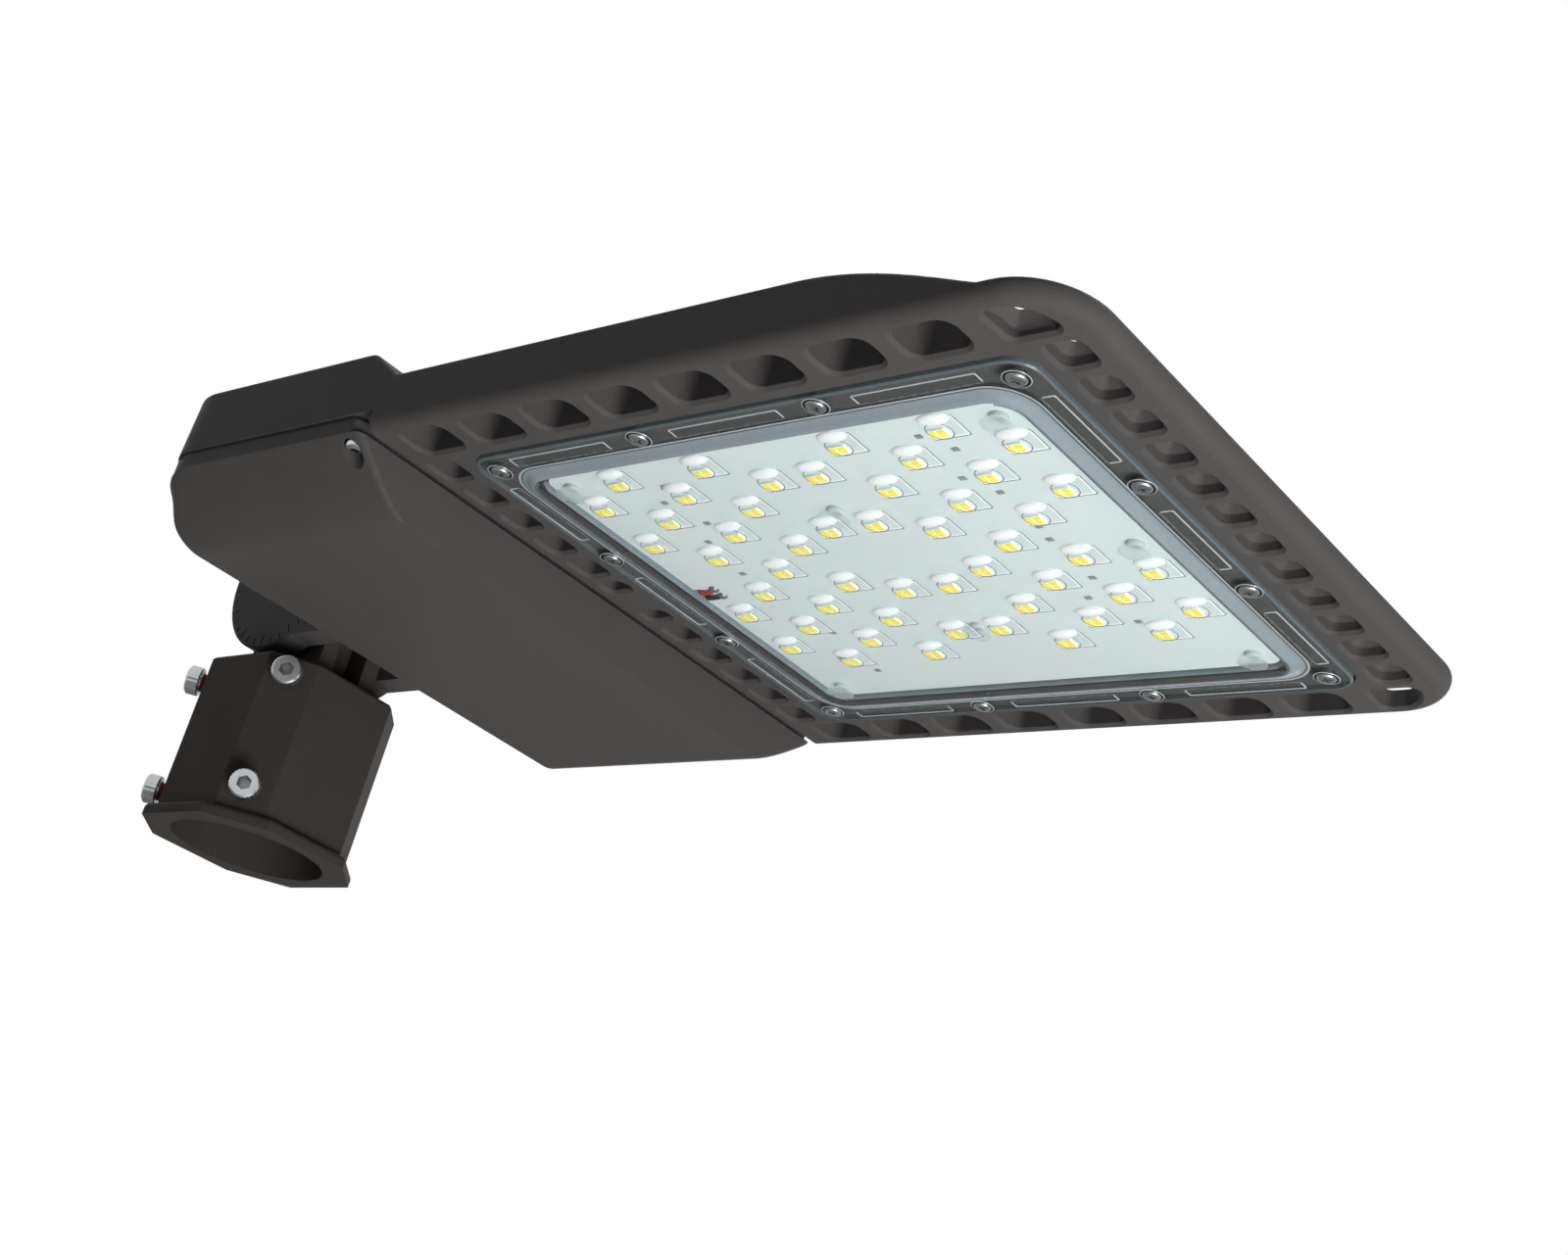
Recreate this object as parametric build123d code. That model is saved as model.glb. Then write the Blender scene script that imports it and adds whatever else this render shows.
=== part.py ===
from build123d import *
import math
import os

# Parking lot light on a slip fitter. Millimetres, +Z up. The origin is on the axis of the
# slip fitter's bore, in the plane of its mouth; +X is the way the head points.

# Slip fitter
TENON_D = 60.3
BORE_PLAY = 2.2
BORE_D = TENON_D + BORE_PLAY
TUBE_HALF = 33.8
TUBE_CORNER = 14.5
TUBE_H = 71.5
ROOF_T = 6.0
LIP_OUT = 5.0
LIP_H = 5.0
TUBE_EDGE = 1.2
POINTER_L = 14.0
POINTER_W = 2.4
POINTER_T = 0.6

# Clamp bolts
CLAMP_D = 8.0
CLAMP_HEAD_D = 12.0
CLAMP_HEAD_H = 5.5
CLAMP_HEX = 5.0
CLAMP_HEX_DEPTH = 3.0
CLAMP_STAND = 3.6
CLAMP_TIP_BACK = 0.4
CLAMP_EDGE = 0.8
CLAMP_PLAY = 0.05
CLAMP_LOW_Z = 14.0
CLAMP_TOP = 9.0
CLAMP_HIGH_Z = TUBE_H - CLAMP_TOP

# Knuckle
PIVOT_RISE = 39.5
PIVOT_Z = TUBE_H + PIVOT_RISE
PIVOT_D = 12.0
PIVOT_PLAY = 0.05
TONGUE_R = 32.0
TONGUE_HALF = 14.5
TONGUE_NECK = 24.0
FRICTION_T = 1.5
FRICTION_R = 24.0
KNUCKLE_GAP = 0.3
EAR_IN = TONGUE_HALF + KNUCKLE_GAP + FRICTION_T
EAR_T = 11.0
EAR_OUT = EAR_IN + EAR_T
EAR_R = 34.0
EAR_EDGE = 1.2
EAR_WEB_LOW = 29.0
PIVOT_HEX = 18.0
PIVOT_HEAD_H = 7.5
PIVOT_NUT_H = 10.0
PIVOT_END = 3.0
PIVOT_WASHER_R = 12.0
PIVOT_WASHER_T = 2.5
WIREWAY = 7.0
WIREWAY_IN = 12.0
WIREWAY_LONG = 12.0
WIREWAY_FLOOR = 20.0
MARK_COUNT = 19
MARK_STEP = 10.0
MARK_L = 4.0
MARK_W = 0.7
MARK_DEPTH = 0.4
MARK_INSET = 1.8

# Head, placed by the centre and underside of its rim
HALF_W = 124.8
RIM_HALF = 136.0
RIM_NOSE = 2.8
RIM_FRONT = RIM_HALF + RIM_NOSE
RIM_TAIL = -RIM_HALF
TAIL_REACH = 44.0
ROOM_L = 128.0
RIM_REACH = TAIL_REACH + ROOM_L
RIM_DROP = 16.0
FIELD_X = RIM_REACH - RIM_TAIL
RIM_Z = PIVOT_Z - RIM_DROP
RIM_T = 7.2
HUMP_T = 21.5
BOX_T = 32.5
SEAM_Z = 8.0
HUMP_SET = 26.0
HUMP_RUN = 66.0
HUMP_LEVEL = 26.0
HUMP_NOSE = 14.0
HUMP_NOSE_H = 4.3
HUMP_END = RIM_HALF - HUMP_SET
HUMP_FALL = HUMP_END - HUMP_RUN
STEP_SET = 4.5
STEP_RUN = 16.0
STEP_FRONT = RIM_TAIL + STEP_SET
STEP_TAIL = STEP_FRONT - STEP_RUN
TAIL_LEAN = 1.5
TAIL_SEAM = RIM_TAIL - ROOM_L
TAIL_TOP = TAIL_SEAM + TAIL_LEAN
CORNER_FRONT = 24.0
CORNER_TAIL = 24.0
RIM_EDGE = 5.0
TOP_EDGE = 2.0
PROFILE_ROUND = 6.0
BOX_WALL = 3.5
CAVITY_SET = 11.0
CAVITY_FRONT = RIM_TAIL - CAVITY_SET
CAVITY_TAIL = 1.0
EDGE_FIND = 1.0

# Holes through the rim
SIDE_COUNT = 8
SIDE_START = 20.0
SIDE_STOP = 18.0
SIDE_RIB = 8.25
SIDE_EDGE = 5.3
SIDE_W = 14.0
SIDE_ROUND = 4.5
SIDE_FIRST = RIM_TAIL + SIDE_START
SIDE_PITCH = (RIM_HALF - SIDE_STOP - SIDE_FIRST) / SIDE_COUNT
SIDE_L = SIDE_PITCH - SIDE_RIB
SIDE_OUT = HALF_W - SIDE_EDGE
SIDE_IN = SIDE_OUT - SIDE_W
END_COUNT = 12
END_STOP = 21.3
END_RIB = 5.65
END_EDGE = 7.4
END_W = 11.8
END_ROUND = 3.2
END_TAIL_SHIFT = 3.0
END_PITCH = 2 * (HALF_W - END_STOP) / END_COUNT
END_L = END_PITCH - END_RIB
END_OUT = RIM_HALF - END_EDGE
END_IN = END_OUT - END_W
HALF_HOLE = 6.6
HALF_ROUND = 2.9
LEAF_SHIFT = 2.0
LEAF_FLAT = 8.0
LEAF_BULGE = (15.0, 5.0)
LEAF_L = 18.0
LEAF_LEAN = 1.0
LEAF_ROUND = 3.0
MOUTH_BEVEL = 1.2

# Cooling fins
FIN_PITCH = 10.0
FIN_T = 3.0
FIN_COUNT = 19
FIN_ROUND = 3.1
FIN_FLOOR = 12.5
FIN_TAIL_SET = 6.0
FIN_FRONT_SET = 24.0
FIN_TAIL = RIM_TAIL + FIN_TAIL_SET
FIN_FRONT = RIM_HALF - FIN_FRONT_SET

# Lens plate, its seat and its screws
LENS_END_RIB = 4.8
LENS_SIDE_RIB = 5.5
LENS_X = END_IN - LENS_END_RIB
LENS_Y = SIDE_IN - LENS_SIDE_RIB
LENS_CORNER = 9.0
LENS_BACK = 1.5
LENS_T = 3.0
LENS_PLAY = 0.6
FRAME_W = 15.0
WINDOW_X = LENS_X - FRAME_W
WINDOW_Y = LENS_Y - FRAME_W
WINDOW_CORNER = 9.0
WINDOW_OUT = 3.6
WINDOW_T = 1.8
WINDOW_WALL = 1.8
RECESS_L = 44.0
RECESS_END_L = 36.0
RECESS_W = 5.0
RECESS_IN = 0.5
RECESS_DEPTH = 1.0
SCREW_SET = 4.5
SCREW_CORNER = 4.0
SCREW_X = LENS_X - SCREW_SET
SCREW_Y = LENS_Y - SCREW_SET
SCREW_D = 4.0
SCREW_PLAY = 0.05
SCREW_SHORT = 0.6
SHANK_ROOM = 0.3
HEAD_ROOM = 0.4
HEAD_ROUND = 0.4
CROSS_SPAN = 0.55
SCREW_HEAD_D = 6.4
SCREW_HEAD_H = 2.0
SCREW_SINK = 1.2
SCREW_BITE = 4.2
SCREW_CROSS = 0.9
GASKET_W = 2.4
GASKET_T = 1.5
GASKET_OUT = 1.4

# LED board
BOARD_SET = 3.0
BOARD_X = WINDOW_X - BOARD_SET
BOARD_Y = WINDOW_Y - BOARD_SET
BOARD_T = 1.6
BOARD_CORNER = WINDOW_CORNER - BOARD_SET
BOARD_PLAY = 0.8
PAD_T = 0.4
LED_SIDE = 5.0
LED_T = 0.8
BOARD_BACK = 1.9
COLUMNS = 10
LONG_ROWS = 6
COLUMN_EDGE = 7.6
ROW_EDGE = 14.5
COLUMN_PITCH = 2 * (BOARD_X - COLUMN_EDGE) / (COLUMNS - 1)
ROW_PITCH = 2 * (BOARD_Y - ROW_EDGE) / (LONG_ROWS - 1)
MID_ROW_IN = 5.0
MID_ROW = ROW_PITCH - MID_ROW_IN
OPTIC_L = 12.5
OPTIC_W = 9.5
OPTIC_H = 3.2
OPTIC_TAPER = 18.0
OPTIC_ROUND = 2.8
BOARD_SCREW_D = 3.0
BOARD_SCREW_HEAD_D = 5.6
BOARD_SCREW_HEAD_H = 1.6
BOARD_SCREW_BITE = 3.6
BOARD_SCREW_END = 8.0
BOARD_SCREW_SIDE = 7.5
BOARD_SCREW_X = BOARD_X - BOARD_SCREW_END
BOARD_SCREW_Y = BOARD_Y - BOARD_SCREW_SIDE
BOARD_SCREW_MID = 40.0

# Driver box
BOX_SET = 5.0
BOX_OVER = 3.0
BOX_INSET = 1.0
BOX_FRONT = RIM_TAIL - BOX_SET
BOX_TAIL = TAIL_SEAM - BOX_OVER
BOX_HALF = HALF_W - BOX_INSET
BOX_BOTTOM = -17.5
FLANGE_T = 5.0
FLANGE_BACK = 2.5
FLANGE_FRONT = BOX_FRONT - FLANGE_BACK
SEAL_T = 1.5
SEAL_W = 3.0
SEAL_INSET = 0.6
BELLY_SIDE = 28.8
BELLY_TAIL = 7.0
BELLY_FRONT = 1.5
BELLY_LEVELS = 6
BELLY_R_TAIL = 27.0
BELLY_R_FRONT = 3.5
BELLY_R_LOW = 2.5
BELLY_R_DEPTH = 0.85
BELLY_BULGE = 0.25
BOX_SCREW_D = 4.0
BOX_SCREW_HEAD_D = 7.0
BOX_SCREW_HEAD_H = 2.4
BOX_SCREW_SEAT = 2.5
BOX_SCREW_BITE = 8.0
BOX_SCREW_SET = 7.5
BOX_SCREW_SIDE = 5.8
BOX_SCREW_X = BOX_FRONT - BOX_SCREW_SET
BOX_SCREW_Y = BOX_HALF - BOX_SCREW_SIDE
HOOK_Y = 70.0
HOOK_W = 18.0
HOOK_T = 3.0
HOOK_RISE = 8.0
HOOK_NOSE = 2.0
HOOK_NOSE_H = 3.0
HOOK_PLAY = 0.4
BOX_BOSS_D = 11.0
DIMPLE_D = 8.6
LEAD_D = 1.6
LEAD_GAP = 1.9
LEAD_BEND = 2.2
LEAD_LIFT = 0.1
LEAD_REACH = 8.0
LEAD_END = LEAD_REACH - BOARD_X
LEAD_RISE_L = 14.0
LEAD_LEVEL_L = 8.0
LEAD_PORT = 8.0
DUCT_Z = 14.0
DUCT_D = 7.6
DROP_IN = 1.5
DROP_X = DROP_IN - BOARD_X
DROP_D = 6.5
GROMMET_LIP = 1.8
GROMMET_T = 1.6
GROMMET_IN = 6.0
INLET_D = 17.0
INLET_WALL = 3.5
INLET_Z = -5.0

# Pieces inside the driver box
SURGE_SET = 37.0
SURGE_Y = BOX_HALF - SURGE_SET
SURGE_L = 24.0
SURGE_H = 20.0
SURGE_FOOT = -9.0
SURGE_FLANGE = 9.0
SURGE_GAP = 0.8
BLOCK_SET = 20.0
BLOCK_X = BOX_FRONT - BLOCK_SET
BLOCK_W = 16.0
BLOCK_GAP = 8.0
TAB_L = 12.0
TAB_T = 2.5
TAB_W = 30.0
DRIVER_END = 45.8
DRIVER_TAIL = 32.0
DRIVER_LOW = DRIVER_END - BOX_HALF
DRIVER_HIGH = SURGE_Y - SURGE_L / 2 - SURGE_GAP - TAB_L
DRIVER_L = DRIVER_HIGH - DRIVER_LOW
DRIVER_Y = (DRIVER_HIGH + DRIVER_LOW) / 2
DRIVER_W = BLOCK_X - BLOCK_W / 2 - BLOCK_GAP - BOX_TAIL - DRIVER_TAIL
DRIVER_X = BOX_TAIL + DRIVER_TAIL + DRIVER_W / 2
DRIVER_H = 30.0
DRIVER_FOOT = -11.0
SURGE_X = DRIVER_X
SURGE_W = DRIVER_W - 2 * SURGE_FLANGE
BLOCK_IN = 22.0
BLOCK_Y = DRIVER_LOW + BLOCK_IN
BLOCK_L = 34.0
BLOCK_H = 15.0
BLOCK_POLES = 3
POLE_D = 6.0
POLE_DEPTH = 4.0
INPUT_HIGH = 19.0
INPUT_LOW = 5.0
INPUT_OUT = 4.0
INPUT_IN = 3.0
INPUT_BEND = 1.5
SURGE_LEAD_PITCH = 6.0
SURGE_LEAD_PORT = 15.0
SURGE_LEAD_OUT = 6.0
SURGE_LEAD_CLIMB = 4.0
SURGE_LEAD_OVER = 4.0
SURGE_LEAD_TURN = 20.0
SURGE_LEAD_STEP = 3.0
CASE_ROUND = 2.0
SMALL_D = 4.0
SMALL_HEAD_D = 7.0
SMALL_HEAD_H = 2.2
SMALL_BITE = 4.5
POST_RIM = 1.0


def head(x, y, z):
    return Pos(FIELD_X + x, y, RIM_Z + z)


def slab(x0, x1, y0, y1, z0, z1):
    return head((x0 + x1) / 2, (y0 + y1) / 2, (z0 + z1) / 2) * Box(x1 - x0, y1 - y0, z1 - z0)


def post(x, y, z0, z1, radius):
    return head(x, y, (z0 + z1) / 2) * Cylinder(radius, z1 - z0)


def plate(half_x, half_y, corner, z0, z1):
    return head(0, 0, z0) * extrude(RectangleRounded(2 * half_x, 2 * half_y, corner), z1 - z0)


def hex_rod(flats, length):
    return extrude(RegularPolygon(flats / math.sqrt(3), 6), length)


def cut_square(half, corner):
    outline = Rectangle(2 * half, 2 * half)
    return chamfer(outline.vertices(), corner)


def along_y(radius, y0, y1, z):
    return Pos(0, (y0 + y1) / 2, z) * Rot(90, 0, 0) * Cylinder(radius, y1 - y0)


def pan_screw(shank_d, head_d, head_h, length):
    """A screw with its head seat at z = 0, its head below and its shank above."""
    body = Cylinder(shank_d / 2, length, align=(Align.CENTER, Align.CENTER, Align.MIN))
    top = Cylinder(head_d / 2, head_h, align=(Align.CENTER, Align.CENTER, Align.MAX))
    top = fillet(top.edges().filter_by(GeomType.CIRCLE).sort_by(Axis.Z)[0], head_h * HEAD_ROUND)
    slot = Box(head_d * CROSS_SPAN, SCREW_CROSS, head_h)
    return body + top - Pos(0, 0, -head_h) * (slot + Rot(0, 0, 90) * slot)


# Slip fitter and its bolts

DIAGONAL = (2 * TUBE_HALF - TUBE_CORNER) / math.sqrt(2)
CLAMP_PLACES = {
    "clamp_bolt_front_upper": (-45, CLAMP_HIGH_Z),
    "clamp_bolt_front_lower": (-45, CLAMP_LOW_Z),
    "clamp_bolt_rear_upper": (-135, CLAMP_HIGH_Z),
    "clamp_bolt_rear_lower": (-135, CLAMP_LOW_Z),
}


def clamp_frame(angle, z):
    return Rot(0, 0, angle) * Pos(DIAGONAL, 0, z) * Rot(0, 90, 0)


def clamp_bolt(angle, z):
    shank_l = DIAGONAL - BORE_D / 2 - CLAMP_TIP_BACK + CLAMP_STAND
    shank = Cylinder(CLAMP_D / 2, shank_l, align=(Align.CENTER, Align.CENTER, Align.MAX))
    shank = chamfer(shank.edges().filter_by(GeomType.CIRCLE).sort_by(Axis.Z)[0], CLAMP_EDGE)
    cap = Cylinder(CLAMP_HEAD_D / 2, CLAMP_HEAD_H, align=(Align.CENTER, Align.CENTER, Align.MIN))
    cap = fillet(cap.edges().filter_by(GeomType.CIRCLE).sort_by(Axis.Z)[-1], CLAMP_EDGE)
    socket = Pos(0, 0, CLAMP_HEAD_H - CLAMP_HEX_DEPTH) * hex_rod(CLAMP_HEX, CLAMP_HEX_DEPTH)
    return clamp_frame(angle, z) * Pos(0, 0, CLAMP_STAND) * (shank + cap - socket)


def slip_fitter():
    tube = extrude(cut_square(TUBE_HALF, TUBE_CORNER), TUBE_H)
    tube = fillet(tube.edges().filter_by(Axis.Z), TUBE_EDGE)
    tube = chamfer(tube.faces().sort_by(Axis.Z)[-1].edges(), TUBE_EDGE)
    lip = extrude(cut_square(TUBE_HALF + LIP_OUT, TUBE_CORNER + LIP_OUT), LIP_H)
    lip = fillet(lip.edges().filter_by(Axis.Z), 2 * TUBE_EDGE)
    lip = fillet(lip.faces().sort_by(Axis.Z)[-1].edges(), 2 * TUBE_EDGE)
    tongue = along_y(TONGUE_R, -TONGUE_HALF, TONGUE_HALF, PIVOT_Z)
    neck_h = PIVOT_Z - TUBE_H + ROOF_T
    neck = Pos(0, 0, TUBE_H - ROOF_T + neck_h / 2) * Box(2 * TONGUE_NECK, 2 * TONGUE_HALF, neck_h)
    body = tube + lip + tongue + neck
    body -= extrude(Circle(BORE_D / 2), TUBE_H - ROOF_T)
    body -= along_y(PIVOT_D / 2 + PIVOT_PLAY, -TONGUE_HALF, TONGUE_HALF, PIVOT_Z)
    # The wireway climbs from the bore and opens along the front and top of the tongue.
    rise = PIVOT_Z - TUBE_H + 2 * ROOF_T
    shaft_x = WIREWAY_IN + WIREWAY_LONG / 2
    body -= Pos(shaft_x, 0, PIVOT_Z - rise / 2) * Box(WIREWAY_LONG, 2 * WIREWAY, rise)
    ring = along_y(TONGUE_R + EDGE_FIND, -WIREWAY, WIREWAY, PIVOT_Z)
    ring -= along_y(WIREWAY_FLOOR, -WIREWAY, WIREWAY, PIVOT_Z)
    reach = TONGUE_R + 2 * EDGE_FIND
    sector = Polyline((0, 0), (reach, -reach / 2), (2 * reach, 2 * reach), (0, reach), close=True)
    wedge = Pos(0, 0, PIVOT_Z) * extrude(make_face(Plane.XZ * sector), WIREWAY, both=True)
    body -= ring & wedge
    for angle, z in CLAMP_PLACES.values():
        hole = Cylinder(CLAMP_D / 2 + CLAMP_PLAY, BORE_D / 2, align=(Align.CENTER, Align.CENTER, Align.MAX))
        body -= clamp_frame(angle, z) * Pos(0, 0, EDGE_FIND) * hole
    # A plain pointer under the angle marks.
    arrow = Polyline((0, 0), (POINTER_W, -POINTER_L / 3), (POINTER_W / 4, -POINTER_L / 3),
                     (POINTER_W / 4, -POINTER_L), (-POINTER_W / 4, -POINTER_L),
                     (-POINTER_W / 4, -POINTER_L / 3), (-POINTER_W, -POINTER_L / 3), close=True)
    mark = extrude(make_face(Plane.XZ * arrow), POINTER_T)
    return body + Pos(0, -TUBE_HALF, TUBE_H - 2 * TUBE_EDGE) * mark


# Upper casting

def end_hole_centres():
    return [(i - (END_COUNT - 1) / 2) * END_PITCH for i in range(END_COUNT)]


def leaf_hole():
    """The corner opening between the last side hole and the end holes."""
    x = SIDE_FIRST + SIDE_COUNT * SIDE_PITCH - SIDE_L / 2 + LEAF_SHIFT
    bulge_x, bulge_y = LEAF_BULGE
    near = Line((x, SIDE_OUT), (x + LEAF_FLAT, SIDE_OUT))
    arc = ThreePointArc((x + LEAF_FLAT, SIDE_OUT), (x + bulge_x, SIDE_OUT - bulge_y), (x + LEAF_L, SIDE_IN))
    back = Polyline((x + LEAF_L, SIDE_IN), (x + LEAF_LEAN, SIDE_IN), (x, SIDE_OUT))
    leaf = make_face(near + arc + back)
    return fillet(leaf.vertices(), LEAF_ROUND)


def rim_holes():
    """The faces of the openings, flat in the rim's underside."""
    mid = (SIDE_IN + SIDE_OUT) / 2
    side = RectangleRounded(SIDE_L, SIDE_W, SIDE_ROUND)
    end = RectangleRounded(END_W, END_L, END_ROUND)
    half = RectangleRounded(END_W, HALF_HOLE, HALF_ROUND)
    found = []
    for i in range(SIDE_COUNT):
        for y in (-mid, mid):
            found.append(Pos(SIDE_FIRST + i * SIDE_PITCH, y) * side)
    end_x = (END_IN + END_OUT) / 2
    for y in end_hole_centres():
        found.append(Pos(end_x, y) * end)
        if abs(y) > END_PITCH:
            found.append(Pos(-end_x - END_TAIL_SHIFT, y) * end)
        else:
            shift = math.copysign((END_L - HALF_HOLE) / 2, y)
            found.append(Pos(-end_x - END_TAIL_SHIFT, y + shift) * half)
    leaf = leaf_hole()
    found.append(leaf)
    found.append(mirror(leaf, Plane.XZ))
    return found


def lens_screw_places():
    corner_x = SCREW_X - SCREW_CORNER
    corner_y = SCREW_Y - SCREW_CORNER
    found = [(x, y) for x in (-corner_x, corner_x) for y in (-corner_y, corner_y)]
    found += [(x, y) for x in (-SCREW_X / 3, SCREW_X / 3) for y in (-SCREW_Y, SCREW_Y)]
    return found + [(x, y) for x in (-SCREW_X, SCREW_X) for y in (-SCREW_Y / 3, SCREW_Y / 3)]


def board_screw_places():
    corners = [(x, y) for x in (-BOARD_SCREW_X, BOARD_SCREW_X) for y in (-BOARD_SCREW_Y, BOARD_SCREW_Y)]
    return corners + [(0, -BOARD_SCREW_MID), (0, BOARD_SCREW_MID), (BOARD_SCREW_X, 0)]


def box_screw_places():
    return [(BOX_SCREW_X, -BOX_SCREW_Y), (BOX_SCREW_X, BOX_SCREW_Y)]


def upper_profile():
    tail = Polyline((TAIL_SEAM, SEAM_Z), (TAIL_TOP, BOX_T), (STEP_TAIL, BOX_T), (STEP_FRONT, HUMP_T),
                    (HUMP_FALL, HUMP_T))
    level = (HUMP_FALL + HUMP_LEVEL, HUMP_T)
    nose = (HUMP_END - HUMP_NOSE, RIM_T + HUMP_NOSE_H)
    fall = Bezier((HUMP_FALL, HUMP_T), level, nose, (HUMP_END, RIM_T))
    under = Polyline((HUMP_END, RIM_T), (RIM_FRONT, RIM_T), (RIM_FRONT, 0), (RIM_TAIL, 0), (RIM_TAIL, SEAM_Z),
                     (TAIL_SEAM, SEAM_Z))
    face = make_face(tail + fall + under)
    turns = [v for v in face.vertices() if any(math.dist((v.X, v.Y), corner) < EDGE_FIND
             for corner in ((STEP_TAIL, BOX_T), (STEP_FRONT, HUMP_T), (HUMP_END, RIM_T)))]
    return fillet(turns, PROFILE_ROUND)


def plan(x0, x1, half, r_tail, r_front):
    face = make_face(Polyline((x0, -half), (x1, -half), (x1, half), (x0, half), close=True))
    face = fillet(face.vertices().group_by(Axis.X)[0], r_tail)
    return fillet(face.vertices().group_by(Axis.X)[-1], r_front)


def heat_sink_housing():
    body = extrude(Plane.XZ * upper_profile(), HALF_W, both=True)
    upright = body.edges().filter_by(Axis.Z)
    body = fillet([e for e in upright if e.center().X > RIM_FRONT - EDGE_FIND], CORNER_FRONT)
    leaning = [e for e in body.edges() if TAIL_SEAM < e.center().X < TAIL_TOP]
    lean = [e for e in leaning if abs(e.center().Y) > HALF_W - EDGE_FIND]
    body = fillet(lean, CORNER_TAIL)
    low = body.edges().filter_by_position(Axis.Z, -0.01, 0.01)
    body = fillet([e for e in low if e.center().X > RIM_TAIL + EDGE_FIND], RIM_EDGE)
    upper = [f for f in body.faces() if f.normal_at().Z > 0.5]
    border = [e for f in upper for e in f.edges() if abs(abs(e.center().Y) - HALF_W) < 0.01]
    body = fillet(border, TOP_EDGE)
    shape = body
    # Driver space under the tail roof.
    room_tail = TAIL_SEAM + BOX_WALL + CAVITY_TAIL
    room = plan(room_tail, CAVITY_FRONT, HALF_W - BOX_WALL, CORNER_TAIL - BOX_WALL, PROFILE_ROUND)
    space = extrude(Pos(0, 0, SEAM_Z) * room, BOX_T - BOX_WALL - SEAM_Z)
    slope = extrude(Plane.XZ * upper_profile(), HALF_W, both=True)
    body -= space & (Pos(BOX_WALL, 0, -BOX_WALL) * slope)
    for x, y in box_screw_places():
        ceiling = BOX_T - BOX_WALL
        boss = Pos(x, y, (SEAM_Z + ceiling) / 2) * Cylinder(BOX_BOSS_D / 2, ceiling - SEAM_Z)
        body += boss & shape
        body -= Pos(x, y, SEAM_Z) * Cylinder(BOX_SCREW_D / 2 + SCREW_PLAY, 2 * BOX_SCREW_BITE)
    # Fins. The middle groove starts past the lead duct, which runs under the solid part.
    grooves = []
    for i in range(FIN_COUNT):
        tail = DROP_X + DROP_D if i == FIN_COUNT // 2 else FIN_TAIL
        cut = RectangleRounded(FIN_FRONT - tail, FIN_PITCH - FIN_T, FIN_ROUND)
        y = (i - (FIN_COUNT - 1) / 2) * FIN_PITCH
        grooves.append(Pos((FIN_FRONT + tail) / 2, y, FIN_FLOOR) * extrude(cut, HUMP_T))
    body -= grooves
    # Openings through the rim, each with a bevelled mouth.
    openings = []
    for opening in rim_holes():
        openings.append(extrude(opening, HUMP_T + RIM_EDGE))
        openings.append(loft([offset(opening, MOUTH_BEVEL), Pos(0, 0, MOUTH_BEVEL) * opening]))
    body -= openings
    # Seat of the lens plate, room for the board, groove of the gasket and the screw holes.
    seat = RectangleRounded(2 * (LENS_X + LENS_PLAY), 2 * (LENS_Y + LENS_PLAY), LENS_CORNER + LENS_PLAY)
    bed = RectangleRounded(2 * (BOARD_X + BOARD_PLAY), 2 * (BOARD_Y + BOARD_PLAY), BOARD_CORNER + BOARD_PLAY)
    top = BOARD_BACK + PAD_T
    body -= extrude(seat, LENS_BACK)
    body -= extrude(bed, top)
    body -= Pos(0, 0, LENS_BACK) * extrude(gasket_ring(), GASKET_T)
    holes = []
    for x, y in lens_screw_places():
        holes.append(Pos(x, y, LENS_BACK) * Cylinder(SCREW_D / 2 + SCREW_PLAY, 2 * SCREW_BITE))
    for x, y in board_screw_places():
        holes.append(Pos(x, y, top) * Cylinder(BOARD_SCREW_D / 2 + SCREW_PLAY, 2 * BOARD_SCREW_BITE))
    body -= holes
    # Duct for the leads, from the driver space to a drop hole behind the board's edge.
    duct_end = DROP_X + DROP_D / 2
    duct = Rot(0, 90, 0) * Cylinder(DUCT_D / 2, duct_end - CAVITY_FRONT)
    body -= Pos((CAVITY_FRONT + duct_end) / 2, 0, DUCT_Z) * duct
    body -= Pos(DROP_X, 0, (top + DUCT_Z) / 2) * Cylinder(DROP_D / 2, DUCT_Z - top)
    return head(0, 0, 0) * body - hook_space(HOOK_PLAY)


def gasket_ring():
    inner_x = WINDOW_X + GASKET_OUT
    inner_y = WINDOW_Y + GASKET_OUT
    outer = RectangleRounded(2 * (inner_x + GASKET_W), 2 * (inner_y + GASKET_W), WINDOW_CORNER + GASKET_W)
    return outer - RectangleRounded(2 * inner_x, 2 * inner_y, WINDOW_CORNER)


# Lens plate and board

def led_places():
    places = []
    for column in range(COLUMNS):
        rank = abs(column - (COLUMNS - 1) / 2)
        x = (column - (COLUMNS - 1) / 2) * COLUMN_PITCH
        if rank in (1.5, 3.5):
            rows = [(row - (LONG_ROWS - 1) / 2) * ROW_PITCH for row in range(LONG_ROWS)]
        elif rank == 2.5:
            rows = [row * ROW_PITCH for row in range(-2, 3)]
        elif rank == 4.5:
            rows = [row * ROW_PITCH for row in (-2, -1, 1, 2)]
        else:
            rows = [-2 * ROW_PITCH, -MID_ROW, MID_ROW, 2 * ROW_PITCH]
        places += [(x, y) for y in rows]
    return places


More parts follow.
